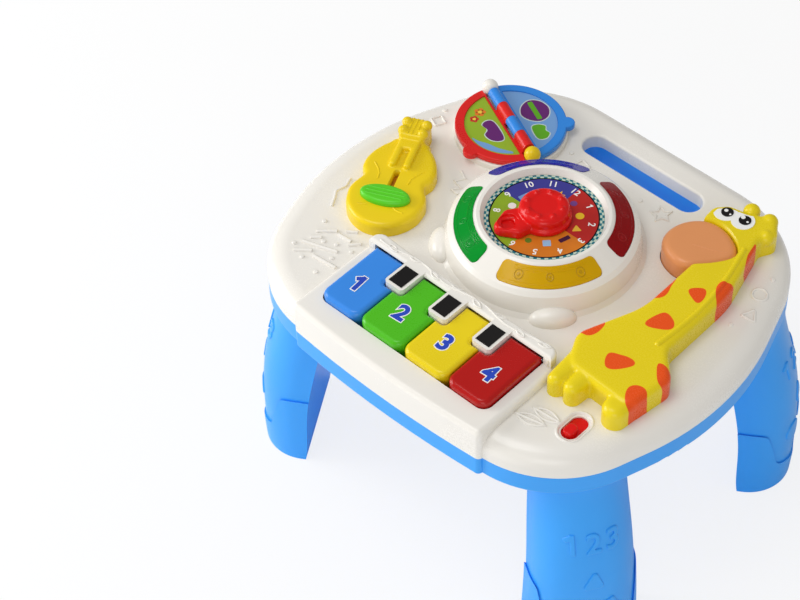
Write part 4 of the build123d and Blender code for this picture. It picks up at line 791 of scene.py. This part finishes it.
TRIANGLE = rounded(arc((0, 0), 4.2, 90, 330, 2), 0.6, 3)
SQUARE = rounded(rectangle((0, 0), 2.9, 2.9), 0.6, 3)
BAR = rounded(rectangle((0, 0), 4.4, 1.8), 0.5, 3)
STAR = star((0, 0), 4.2, 1.9, 90)
DIAL_SHAPES = [(75, dot(2.6), (120, 70, 140)), (45, dot(3.2), (240, 196, 40)), (15, TRIANGLE, (238, 190, 60)),
               (-15, BAR, (70, 30, 60)), (-45, SQUARE, (150, 190, 226)), (-75, dot(2.4), (96, 130, 40)),
               (-105, STAR, (240, 220, 90)), (-135, SQUARE, (90, 60, 130)), (-165, dot(3.0), (240, 240, 236)),
               (165, BAR, (120, 160, 210)), (135, TRIANGLE, (236, 236, 230)), (105, STAR, (240, 190, 50))]
for number, (degrees, shape, colour) in enumerate(DIAL_SHAPES, 1):
    piece = slab(f"dial_shape_{number}", shape, 0, WAFER)
    put(piece, *ring_place(CLOCK, SHAPE_RING, degrees), degrees - 90, DIAL_TOP)
    dress(piece, moulded(f"dial_ink_{number}", colour, rough=0.25))
print("dial shapes:", len(DIAL_SHAPES))

# %% [markdown]
# ## Numbers on the keys
# Every key has a fat blue figure with a white edge. The white one is the same letter drawn a little
# fatter, and both are draped over the key, whose top falls towards the child.

# %% key numbers
KEY_PITCH = 41.0
KEY_NUMBER_LINE = -113.0
KEY_NUMBER_SIZE = 19.0
KEY_NUMBER_TURN = 4.0
NUMBER_BLUE = moulded("number_blue_ink", (44, 74, 190), rough=0.25)
LAYERS = [(1.5, 0.16, PRINT_WHITE), (0.75, 0.28, NUMBER_BLUE)]

for index, colour in enumerate(KEY_TINTS):
    x = (index - 1.5) * KEY_PITCH
    for layer, (fat, thick, finish) in enumerate(LAYERS):
        number = lettering(str(index + 1), KEY_NUMBER_SIZE, fat, thick)
        put(number, x, KEY_NUMBER_LINE, KEY_NUMBER_TURN)
        drape(number, f"key_{colour}")
        number.name = f"key_number_{index + 1}_{layer}"
        dress(number, finish, f"{colour}_key")
print("key numbers:", len(KEY_TINTS))

# %% [markdown]
# ## The clock's hand
# The hub is a wide knob with a shallow dish and eight grip bumps on its rim. The arm ends in a rounded
# kite with a two-step finger hole. The parts are joined, melted together, and then the hole is cut.

# %% pointer
POINTER_TURN = 247.0
POINTER_FOOT = DIAL_TOP + 0.4
HUB_TOP = DIAL_TOP + 13.8
HUB_RADIUS = 18.4
HUB_EDGE = 4.5
DISH_RADIUS = 10.6
DISH_DEPTH = 0.5
FLANGE_RADIUS = 20.0
FLANGE_TOP = POINTER_FOOT + 5.0
FLANGE_EDGE = 2.4
KITE = [(8.0, -9.0), (25.5, -12.8), (43.0, 0.0), (25.5, 12.8), (8.0, 9.0)]
KITE_BENDS = [2.0, 5.5, 5.5, 5.5, 2.0]
ARM_TOP = DIAL_TOP + 8.4
ARM_EDGE = 3.0
BUMPS = 8
BUMP_RING = 13.2
BUMP_RADIUS = 2.9
BUMP_MIDDLE = HUB_TOP - 1.6
HOLE = (28.5, 0.0)
HOLE_STEPS = [(7.6, 6.6), (5.2, 3.2)]
OVER_POINTER = DIAL_TOP + 20.0


def on_clock(points):
    """Outline drawn along the arm, turned and moved to the clock."""
    return turned(points, POINTER_TURN, shift=CLOCK)


hub = slab("pointer_hub", disc(CLOCK, HUB_RADIUS, 64), POINTER_FOOT, HUB_TOP, HUB_EDGE)
cut(hub, slab("hub_dish", disc(CLOCK, DISH_RADIUS, 48), HUB_TOP - DISH_DEPTH, OVER_POINTER))
flange = slab("pointer_flange", disc(CLOCK, FLANGE_RADIUS, 64), POINTER_FOOT, FLANGE_TOP, FLANGE_EDGE)
arm = slab("pointer_arm", on_clock(rounded(KITE, KITE_BENDS)), POINTER_FOOT, ARM_TOP, ARM_EDGE)
bumps = []
for number in range(BUMPS):
    place = ring_place(CLOCK, BUMP_RING, 360 / BUMPS * (number + 0.5))
    bumps.append(ball("hub_bump", *place, BUMP_MIDDLE, BUMP_RADIUS))
pointer = melt(join("pointer_moulding", [hub, flange, arm] + bumps), grain=0.55, passes=5)
hole_middle = on_clock([HOLE])[0]
for radius, height in HOLE_STEPS:
    cut(pointer, slab("finger_hole", disc(hole_middle, radius), DIAL_TOP + height, OVER_POINTER))
modify(pointer, "SMOOTH", factor=0.5, iterations=3)
dress(pointer, FINISHES["red_plastic"], "clock_pointer")
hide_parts("pointer")
print("pointer faces:", len(pointer.data.polygons))

# %% [markdown]
# ## Inside the windows
# Through the clear plastic one sees a white reflector and three round bosses with their screws, drawn in a
# darker copy of the window's tint as painted shade. Fine mould lines run along the window. All of these marks
# are thin and lie on its top.

# %% window bosses and lines
REFLECTOR = moulded("reflector_white", (232, 230, 222), rough=0.5)
FIRST_WINDOW = 45.0
WINDOW_REACH = 27.0
WINDOW_LINES = [(52.8, 0.3), (53.9, 0.3), (55.0, 0.3), (62.6, 0.35)]
BOSS_RING = 58.0
BOSSES = [(-22.0, 3.0), (0.0, 2.4), (22.0, 3.0)]
BOSS_LINE = 0.45
BOSS_PAINTED_SHADE = 0.74
SCREW_SHARE = 0.45
WINDOW_LIFT = -0.1

paint("light_board", REFLECTOR)
for index, colour in enumerate(WINDOW_TINTS):
    node = f"window_{colour}"
    heading = FIRST_WINDOW + 90.0 * index
    # painted shade: the bosses and screws are real parts, coloured as the window's tint made darker for the
    # shade under the clear plastic
    boss_shade = moulded(f"boss_{colour}_tint", shaded(WINDOW_TINTS[colour], BOSS_PAINTED_SHADE), rough=0.2)
    lines = []
    for ring, radius in WINDOW_LINES:
        line = arc(CLOCK, ring, heading - WINDOW_REACH, heading + WINDOW_REACH)
        lines.append(drape(relief("window_line", line, radius), node, WINDOW_LIFT))
    dress(join(f"{node}_lines", lines), FINISHES[f"{node}_clear"])
    marks = []
    for turn, size in BOSSES:
        place = ring_place(CLOCK, BOSS_RING, heading + turn)
        marks.append(relief("window_boss", disc(place, size), BOSS_LINE, closed=True))
        marks.append(slab("window_screw", disc(place, size * SCREW_SHARE, 20), -0.2, 0.2, 0.1, 2))
    dress(join(f"{node}_bosses", [drape(mark, node, WINDOW_LIFT) for mark in marks]), boss_shade)
print("windows:", len(WINDOW_TINTS))

# %% [markdown]
# ## The guitar
# A pinched outline with soft edges, a neck plate that ends in two prongs beside the slider's slot, and a
# head with four round pegs. Only one half of the outline is drawn; the other is its mirror image.

# %% guitar body
GUITAR = (-109.0, -37.0)
GUITAR_TURN = 115.0
GUITAR_TOP = DECK + 12.0
GUITAR_EDGE = 4.0
HALF = [(65.0, 9.0), (57.0, 17.6), (48.0, 23.8), (38.0, 27.4), (29.4, 27.5), (24.8, 25.8), (20.4, 23.8),
        (15.0, 25.8), (9.9, 28.2), (2.1, 29.4), (-10.9, 26.6), (-21.5, 18.6), (-27.8, 7.0)]
NECK_LOW = DECK + 8.0
NECK_TOP = DECK + 16.0
HEAD_TOP = DECK + 19.4
PEG_MIDDLE = DECK + 17.6
LUMP_MIDDLE = DECK + 7.0
SLOT_FLOOR = DECK + 5.0


def on_guitar(points):
    """Outline drawn along the guitar's neck, turned and moved to its place."""
    return turned(points, GUITAR_TURN, shift=GUITAR)


def bar(start, end, middle, width, radius):
    """Rounded rectangle along the neck."""
    centre = ((start + end) / 2, middle)
    return on_guitar(rounded(rectangle(centre, (end - start) / 2, width / 2), radius))


whole = HALF + [(x, -y) for x, y in reversed(HALF)]
guitar = [slab("guitar_body_figure", on_guitar(smooth(whole)), DECK - ROOT, GUITAR_TOP, GUITAR_EDGE)]
guitar.append(slab("guitar_neck_plate", bar(50.0, 63.0, 0.0, 16.4, 2.0), NECK_LOW, NECK_TOP, 1.6))
guitar.append(slab("guitar_head_block", bar(59.6, 80.6, 0.0, 20.6, 3.0), DECK - ROOT, HEAD_TOP, 2.6))
for side in (-1, 1):
    guitar.append(slab("guitar_prong", bar(31.2, 62.0, side * 5.5, 5.6, 2.7), NECK_LOW, NECK_TOP, 1.8))
    for along in (65.6, 75.2):
        guitar.append(ball("guitar_peg", *on_guitar([(along, side * 7.6)])[0], PEG_MIDDLE, 4.3))
    guitar.append(ball("guitar_lump", *on_guitar([(59.6, side * 11.0)])[0], LUMP_MIDDLE, 4.8))
guitar_piece = melt(join("guitar_moulding", guitar), grain=0.7, passes=5)
cut(guitar_piece, slab("guitar_slot", bar(-4.5, 30.0, 0.0, 5.0, 2.4), SLOT_FLOOR, DECK + 40.0))
print("guitar faces:", len(guitar_piece.data.polygons))

# %% [markdown]
# Scrolls on the body and strings on the head are thin raised lines. The slot's floor is a plate darker than
# the yellow, as painted shade, and the green slider has three ridges for a finger, draped over its dome.

# %% guitar scrolls and slider ridges
SCROLLS = [[(33.0, 19.0), (27.5, 14.6), (22.7, 12.2), (17.0, 11.6)],
           [(-6.6, 7.4), (-10.4, 11.7), (-11.8, 17.2)]]
SCROLL_HEIGHT = GUITAR_TOP - 0.5
SPACING = (-3.4, 0.0, 3.4)
STRING_HEIGHT = HEAD_TOP - 0.3
SLIDER_HALF_WIDTH = 9.5
RIDGE_HALF_LENGTH = 15.0

lines = []
for side in (-1, 1):
    for scroll in SCROLLS:
        drawn = on_guitar([(x, side * y) for x, y in scroll])
        lines.append(relief("guitar_scroll", drawn, 0.9, height=SCROLL_HEIGHT))
for across in SPACING:
    drawn = on_guitar([(62.0, across), (79.0, across)])
    lines.append(relief("guitar_string", drawn, 0.75, height=STRING_HEIGHT))
guitar_piece = dress(join("guitar_moulding", [guitar_piece] + lines), FINISHES["guitar_yellow"])
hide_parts("guitar_body", "guitar_neck")
# painted shade: the floor plate is the guitar's yellow drawn darker, for the shade deep in the slot
slot_floor = slab("guitar_slot_floor", bar(-4.5, 30.0, 0.0, 4.9, 2.4), SLOT_FLOOR - 0.4, SLOT_FLOOR + 0.2)
dress(slot_floor, moulded("slot_floor_painted_shade", (196, 128, 22), rough=0.4))

ridges = []
for along in SPACING:
    reach = RIDGE_HALF_LENGTH * math.sqrt(1 - (along / SLIDER_HALF_WIDTH) ** 2)
    drawn = on_guitar([(along, across) for across in (-reach, 0.0, reach)])
    ridges.append(relief("slider_ridge", drawn, 0.8))
for ridge in ridges:
    drape(ridge, "guitar_slider", -0.2)
dress(join("slider_ridges", ridges), FINISHES["green_plastic"], "slider")
print("slider ridges:", len(ridges))

# %% [markdown]
# ## Flip book
# Each page carries a printed film. Its design is plain: a sky with a big balloon and a bush on one page, a
# meadow with a stream, a hill and flowers on the other. Every motif is a thin wafer, and the balloon, the
# bush and the hill have a pale edge under them. The drawing runs along the hinge bar and across it, and is
# then turned to the book's place.

# %% page prints
BOOK = (-95.0, 85.5)
BOOK_TURN = -25.2
PAGE_WAFER = 0.12
PALE_EDGE = 0.9
FILM_MIDDLES = {"blue": (0.0, 20.0), "red": (0.0, -20.0)}
INK_COLOURS = {"sky": (118, 162, 214), "meadow": (150, 182, 44), "purple": (104, 40, 112),
               "green": (96, 172, 34), "edge": (206, 220, 214), "orange": (226, 120, 40),
               "red": (206, 50, 44), "yellow": (240, 204, 70)}
INKS = {name: moulded(f"page_ink_{name}", rgb, rough=0.3) for name, rgb in INK_COLOURS.items()}
BALLOON = [(-5, 33), (-14, 29.5), (-17.5, 22), (-14, 15), (-8, 11.4), (-3, 11.2), (3, 15), (6.5, 22),
           (3.5, 29.5)]
BALLOON_BAND = [(-15.6, 20), (4.4, 20), (4.8, 24), (-15.8, 24)]
BUSH = [(10, 13), (9.5, 18), (13, 22.5), (17.5, 21), (21.5, 22.5), (25.5, 18), (24, 12.6), (17, 11.6)]
STREAM = [(29, -11.5), (26, -15), (21, -20), (14, -25), (9, -30), (4, -33.4), (12, -32.0), (20, -27.6),
          (27, -20), (31, -12)]
HILL = [(-5, -11.4), (-9, -16), (-6, -21), (0.5, -19.4), (4.5, -23), (11, -21.5), (15, -16), (12.5, -11.2)]
FLOWERS = [((-20.0, -17.0), 1.0, "orange"), ((-14.5, -24.0), 0.8, "red")]
PETALS = 5


def on_book(points):
    """Outline drawn along the hinge bar, turned and moved to the book."""
    return turned(points, BOOK_TURN, shift=BOOK)


def motif(name, points, ink, page, layer):
    """Thin printed shape, lying on a page's flat film."""
    x, y = on_book([FILM_MIDDLES[page]])[0]
    low = height_at(f"page_{page}_prints", x * MM, y * MM) / MM + PAGE_WAFER * (layer - 1.5)
    dress(slab(name, on_book(points), low, low + PAGE_WAFER), INKS[ink], f"{page}_page")


def bordered(name, points, ink, page):
    """Motif with a pale edge: the same outline, first widened and then as drawn."""
    middle = sum((Vector(point) for point in points), Vector((0, 0))) / len(points)
    arms = [Vector(point) - middle for point in points]
    wide = [tuple(middle + arm + arm.normalized() * PALE_EDGE) for arm in arms]
    motif(f"{name}_edge", wide, "edge", page, 1)
    motif(name, points, ink, page, 2)


paint("page_blue_prints", INKS["sky"])
paint("page_red_prints", INKS["meadow"])
bordered("print_balloon", smooth(BALLOON), "purple", "blue")
bordered("print_bush", smooth(BUSH), "green", "blue")
motif("print_balloon_band", rounded(BALLOON_BAND, 1.0), "green", "blue", 3)
motif("print_stream", smooth(STREAM), "sky", "red", 1)
bordered("print_hill", smooth(HILL), "purple", "red")
for number, (middle, size, ink) in enumerate(FLOWERS):
    for petal in range(PETALS):
        place = ring_place(middle, 2.6 * size, 360 / PETALS * petal)
        motif(f"print_petal_{number}_{petal}", disc(place, 2.0 * size, 16), ink, "red", 1)
    motif(f"print_flower_{number}", disc(middle, 1.7 * size, 16), "yellow", "red", 2)
print("inks on the pages:", len(INKS))

# %% [markdown]
# ## The deck's soft brim
# The white deck rolls over into its side without a line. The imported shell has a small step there, so a thin
# band of the same plastic lies over it: the deck's outline is filled and pulled up in insets that follow a
# wide arc, and it is then cut open in the middle, at the piano and at the switch.

# %% deck brim
BODY_CORNERS = [(138.0, 157.0), (191.5, -5.0), (142.5, -150.0), (-142.5, -150.0), (-196.0, -5.0),
                (-127.0, 157.0)]
BODY_ROUNDS = [92.0, 210.0, 84.0, 84.0, 210.0, 100.0]
BRIM_START = 7.6
BRIM_LEVEL = 16.0
BRIM_END = 17.5
BRIM_ROUND = 20.0
BRIM_STEPS = 8
BRIM_LIFT = 0.02
PIANO = (0.0, -115.0)
PIANO_HALF = (88.4, 55.0)
SWITCH = (127.3, -100.4)
SWITCH_HALF = (8.6, 14.0)
SWITCH_BEND = 8.5


def inset_body(inset):
    """The deck's outline moved inwards."""
    corners = []
    for index in range(len(BODY_CORNERS)):
        here, before, after = corner_sides(BODY_CORNERS, index)
        inwards = (before + after).normalized()
        corners.append(here + inwards * (inset / math.sin(before.angle(after) / 2)))
    return rounded(corners, [radius - inset for radius in BODY_ROUNDS], 24)


def brim_height(inset):
    """Height of the brim's arc, which is level where it meets the deck."""
    return DECK + BRIM_LIFT - BRIM_ROUND + math.sqrt(BRIM_ROUND ** 2 - (BRIM_LEVEL - inset) ** 2)


switch_ring = rounded(rectangle(SWITCH, *SWITCH_HALF), SWITCH_BEND)
piano_gap = rectangle(PIANO, *PIANO_HALF)
brim = slab("deck_brim", inset_body(BRIM_START), DECK - 3.0, brim_height(BRIM_START))
bpy.ops.object.mode_set(mode="EDIT")
pick_top(brim)
stride = (BRIM_LEVEL - BRIM_START) / BRIM_STEPS
for step in range(BRIM_STEPS):
    here = BRIM_START + stride * step
    rise = brim_height(here + stride) - brim_height(here)
    bpy.ops.mesh.inset(thickness=stride * MM, depth=rise * MM)
bpy.ops.object.mode_set(mode="OBJECT")
for gap in (inset_body(BRIM_END), piano_gap, switch_ring):
    cut(brim, slab("brim_gap", gap, DECK - 10.0, DECK + 10.0))
bpy.ops.object.shade_smooth_by_angle(angle=SHARPEST)
dress(brim, FINISHES["white_shell"])
TREES["deck_brim"] = search_tree(brim.data)
COVERS["top_shell"] = ["deck_brim"]
print("brim faces:", len(brim.data.polygons))

# %% [markdown]
# ## Small shapes raised from the deck
# The deck has little figures moulded into it: a star, a ring, a triangle, squares, leaves, zig-zags, sticks
# and dots. They are thin round lines and small caps, draped over the shell and its brim.

# %% deck relief
LINE = 1.0
STROKE_LINE = 1.2
STICK_LINE = 1.6
LIFT = 0.15
LEAF_STEPS = 8


def polygon(centre, radius, corners, start, bend):
    """Regular outline with rounded corners."""
    places = [ring_place(centre, radius, start + 360 * corner / corners) for corner in range(corners)]
    return rounded(places, bend, 4)


def leaf(base, tip, width):
    """Pointed oval from base to tip."""
    start = Vector(base)
    end = Vector(tip)
    side = Vector((start.y - end.y, end.x - start.x)).normalized() * width
    steps = [step / LEAF_STEPS for step in range(LEAF_STEPS + 1)]
    there = [start.lerp(end, share) + side * math.sin(math.pi * share) for share in steps]
    back = [start.lerp(end, share) - side * math.sin(math.pi * share) for share in reversed(steps[1:-1])]
    return [tuple(place) for place in there + back]


OUTLINES = [star((44.9, 94.1), 8.2, 4.0, 60), disc((146.9, 78.8), 5.6),
            polygon((154.0, 58.3), 6.6, 3, 96, 0.8), polygon((-31.5, 93.5), 6.4, 4, 30, 0.8),
            polygon((-144.4, 58.0), 6.0, 4, 20, 0.8),
            leaf((90.0, -118.0), (112.0, -113.0), 4.2), leaf((96.0, -106.5), (118.0, -104.5), 4.2)]
STROKES = [[(-94.4, 29.1), (-86.5, 25.0), (-91.0, 18.0), (-82.5, 15.5), (-86.0, 9.5), (-79.5, 9.3)],
           [(-150.0, -32.0), (-147.0, -40.0), (-149.0, -48.0), (-144.0, -55.0), (-140.0, -62.0)],
           [(91.0, -117.8), (111.0, -113.2)], [(97.0, -106.4), (117.0, -104.6)]]
STICKS = [[(-130.0, -87.0), (-119.0, -77.0)], [(-116.0, -79.0), (-104.0, -78.0)],
          [(-114.0, -73.0), (-107.0, -68.0)], [(-131.0, -101.0), (-104.0, -92.0)],
          [(-129.0, -111.0), (-119.0, -103.0)], [(-115.0, -106.0), (-94.0, -104.0)],
          [(-129.0, -94.0), (-123.0, -89.0)], [(-103.0, -82.0), (-97.0, -75.0)]]
DOTS = [(145.0, 97.3), (149.1, 42.5), (24.4, 94.8), (-80.6, 33.5), (-102.0, -116.0), (-45.8, 99.3),
        (-148.6, 70.0), (-77.0, 2.0), (-120.0, -112.0), (-134.0, -106.0), (-133.0, -76.0), (-110.0, -87.0),
        (-97.0, -85.0), (-103.0, -99.0), (-119.0, -91.0)]
raised = [relief("deck_outline", points, LINE, closed=True) for points in OUTLINES]
raised += [relief("deck_stroke", points, STROKE_LINE) for points in STROKES]
raised += [relief("deck_stick", points, STICK_LINE) for points in STICKS]
raised += [slab("deck_dot", disc(place, 1.8, 16), -0.5, 0.8, 0.6, 3) for place in DOTS]
for piece in raised:
    drape(piece, "top_shell", LIFT)
deck_relief = dress(join("deck_relief", raised), FINISHES["white_shell"])
print("deck relief faces:", len(deck_relief.data.polygons))

# %% [markdown]
# A leafy vine winds along the piano's ridge. It is a sine wave with a leaf to either side in turn. A thicker
# line makes the rim round the switch.

# %% ridge vine and switch rim
RIDGE_TOP = -72.0
VINE_SWING = 2.0
VINE_WAVE = 9.0
VINE_LEAVES = 8

vine = [[(x, RIDGE_TOP + VINE_SWING * math.sin(x / VINE_WAVE)) for x in range(-78, 79, 2)]]
for number in range(VINE_LEAVES):
    x = -70.0 + 20.0 * number
    side = 1 if number % 2 else -1
    blade = leaf((x, RIDGE_TOP), (x + 9.0, RIDGE_TOP + 2.6 * side), 1.7)
    vine.append(blade + blade[:1])
scrolls = [drape(relief("ridge_vine", points, 0.75), "top_shell", LIFT) for points in vine]
dress(join("ridge_relief", scrolls), FINISHES["white_shell"])
dress(drape(relief("switch_rim", switch_ring, 1.5, closed=True), "top_shell", -0.5), FINISHES["white_shell"])
print("vine leaves:", VINE_LEAVES)

# %% [markdown]
# ## Numbers and shapes on the legs
# Each leg's round outer side carries raised figures. They are drawn flat and melted soft once, copied, and
# every point is then shot on to the leg from outside, so the drawing bends with it.

# %% leg relief
LEGS = {"leg_right_front": ((135.0, -97.5), -32.2), "leg_right_rear": ((135.0, 103.5), 32.2),
        "leg_left_rear": ((-135.0, 103.5), 147.8), "leg_left_front": ((-135.0, -97.5), 212.2)}
SUNK = 0.7
PROUD = 1.2
OUTSIDE = 0.2
TRIANGLE_PLATE = rounded([(-10, 74), (7.5, 74), (0.5, 92.5)], 2.5)
ROUND_PLATE = disc((-16.5, 52), 9.0)
SQUARE_MIDDLE = (10.5, 50.5)
SQUARE_PLATE = turned(rounded(rectangle(SQUARE_MIDDLE, 7.5, 7.5), 1.5), 24, SQUARE_MIDDLE)
LEG_NUMBERS = {"1": -15.0, "2": 0.0, "3": 14.5}
LEG_NUMBER_SIZE = 24.0
LEG_NUMBER_HEIGHT = 116.0


def wrap(piece, node):
    """Bend a flat drawing (across, up, raised) on to a leg's outer side."""
    (x, y), degrees = LEGS[node]
    angle = math.radians(degrees)
    out = Vector((math.cos(angle), math.sin(angle), 0))
    across = Vector((-math.sin(angle), math.cos(angle), 0))
    for vertex in piece.data.vertices:
        start = Vector((x * MM, y * MM, vertex.co.y)) + across * vertex.co.x + out * OUTSIDE
        place = shoot(node, start, -out)
        if place:
            vertex.co = place + out * vertex.co.z
    return piece


figures = [slab("leg_plate", plate, -SUNK, PROUD) for plate in (TRIANGLE_PLATE, ROUND_PLATE, SQUARE_PLATE)]
for number, across in LEG_NUMBERS.items():
    figure = lettering(number, LEG_NUMBER_SIZE, 0.5, SUNK + PROUD)
    figures.append(put(figure, across, LEG_NUMBER_HEIGHT, up=-SUNK))
drawing = join("leg_drawing", [melt(figure, grain=0.45, passes=2) for figure in figures])
for node in LEGS:
    copied = drawing.copy()
    copied.data = drawing.data.copy()
    copied.name = f"{node}_relief"
    scene.collection.objects.link(copied)
    dress(wrap(copied, node), FINISHES["blue_plastic"])
bpy.data.objects.remove(drawing)
print("leg relief faces:", len(copied.data.polygons))

# %% [markdown]
# ## The eyes
# Two white glints in each eye make the face look alive.

# %% glints
GLINTS = [(88.4, 113.0, 1.5), (93.0, 111.6, 0.8), (101.8, 115.6, 1.7), (107.0, 113.8, 0.9)]

for number, (x, y, radius) in enumerate(GLINTS):
    glint = slab(f"eye_glint_{number}", disc((x, y), radius, 20), -0.05, 0.1)
    dress(drape(glint, "giraffe_pupils"), PRINT_WHITE)
print("glints:", len(GLINTS))

# %% [markdown]
# ## Studio
# A white floor and three soft lamps, the strongest at the left, as for a catalogue picture. The floor shows
# white to the camera and keeps a faint shadow, because only part of its colour is its own light. The world
# is dimmer for glossy rays, so that colours stay deep.

# %% floor and lamps
FLOOR_GLOW = 0.8
WORLD_LIGHT = 0.5
WORLD_SHINE = 0.16
LAMPS = [("left_softbox", (-1.5, -0.9, 0.8), 1.0, 18.5), ("overhead_softbox", (-0.3, -0.5, 1.9), 0.8, 8.0),
         ("front_softbox", (1.0, -1.3, 0.7), 0.8, 5.0)]
LAMP_AIM = Vector((0, 0, 0.2))

bpy.ops.object.select_all(action="DESELECT")
bpy.ops.mesh.primitive_plane_add(size=12.0, location=(0, 0, 0))
floor = active("studio_floor")
paper = Finish("floor_paper")
paper.set(Base_Color=linear((250, 250, 250)), Roughness=0.9)
glow = paper.node("ShaderNodeEmission", {}, {"Color": (1, 1, 1, 1), "Strength": 1.0})
seen = paper.node("ShaderNodeLightPath", output="Is Camera Ray") * FLOOR_GLOW
blend = paper.node("ShaderNodeMixShader", {}, {0: seen, 1: Socket(paper, paper.shader.outputs[0]), 2: glow})
paper.feed(paper.tree.nodes["Material Output"].inputs["Surface"], blend)
floor.data.materials.append(paper.material)

world = bpy.data.worlds.new("studio_world")
scene.world = world
world.use_nodes = True
tree = world.node_tree
backdrop = tree.nodes["Background"]
backdrop.inputs["Color"].default_value = (1, 1, 1, 1)
seen_by = tree.nodes.new("ShaderNodeLightPath")
level = tree.nodes.new("ShaderNodeMapRange")
level.inputs["To Min"].default_value = WORLD_LIGHT
level.inputs["To Max"].default_value = WORLD_SHINE
tree.links.new(seen_by.outputs["Is Glossy Ray"], level.inputs["Value"])
tree.links.new(level.outputs["Result"], backdrop.inputs["Strength"])

for name, place, size, watts in LAMPS:
    bpy.ops.object.select_all(action="DESELECT")
    bpy.ops.object.light_add(type="AREA", location=place)
    lamp = active(name)
    lamp.data.size = size
    lamp.data.energy = watts
    lamp.rotation_euler = (LAMP_AIM - Vector(place)).to_track_quat("-Z", "Y").to_euler()
print("lamps:", len(LAMPS))
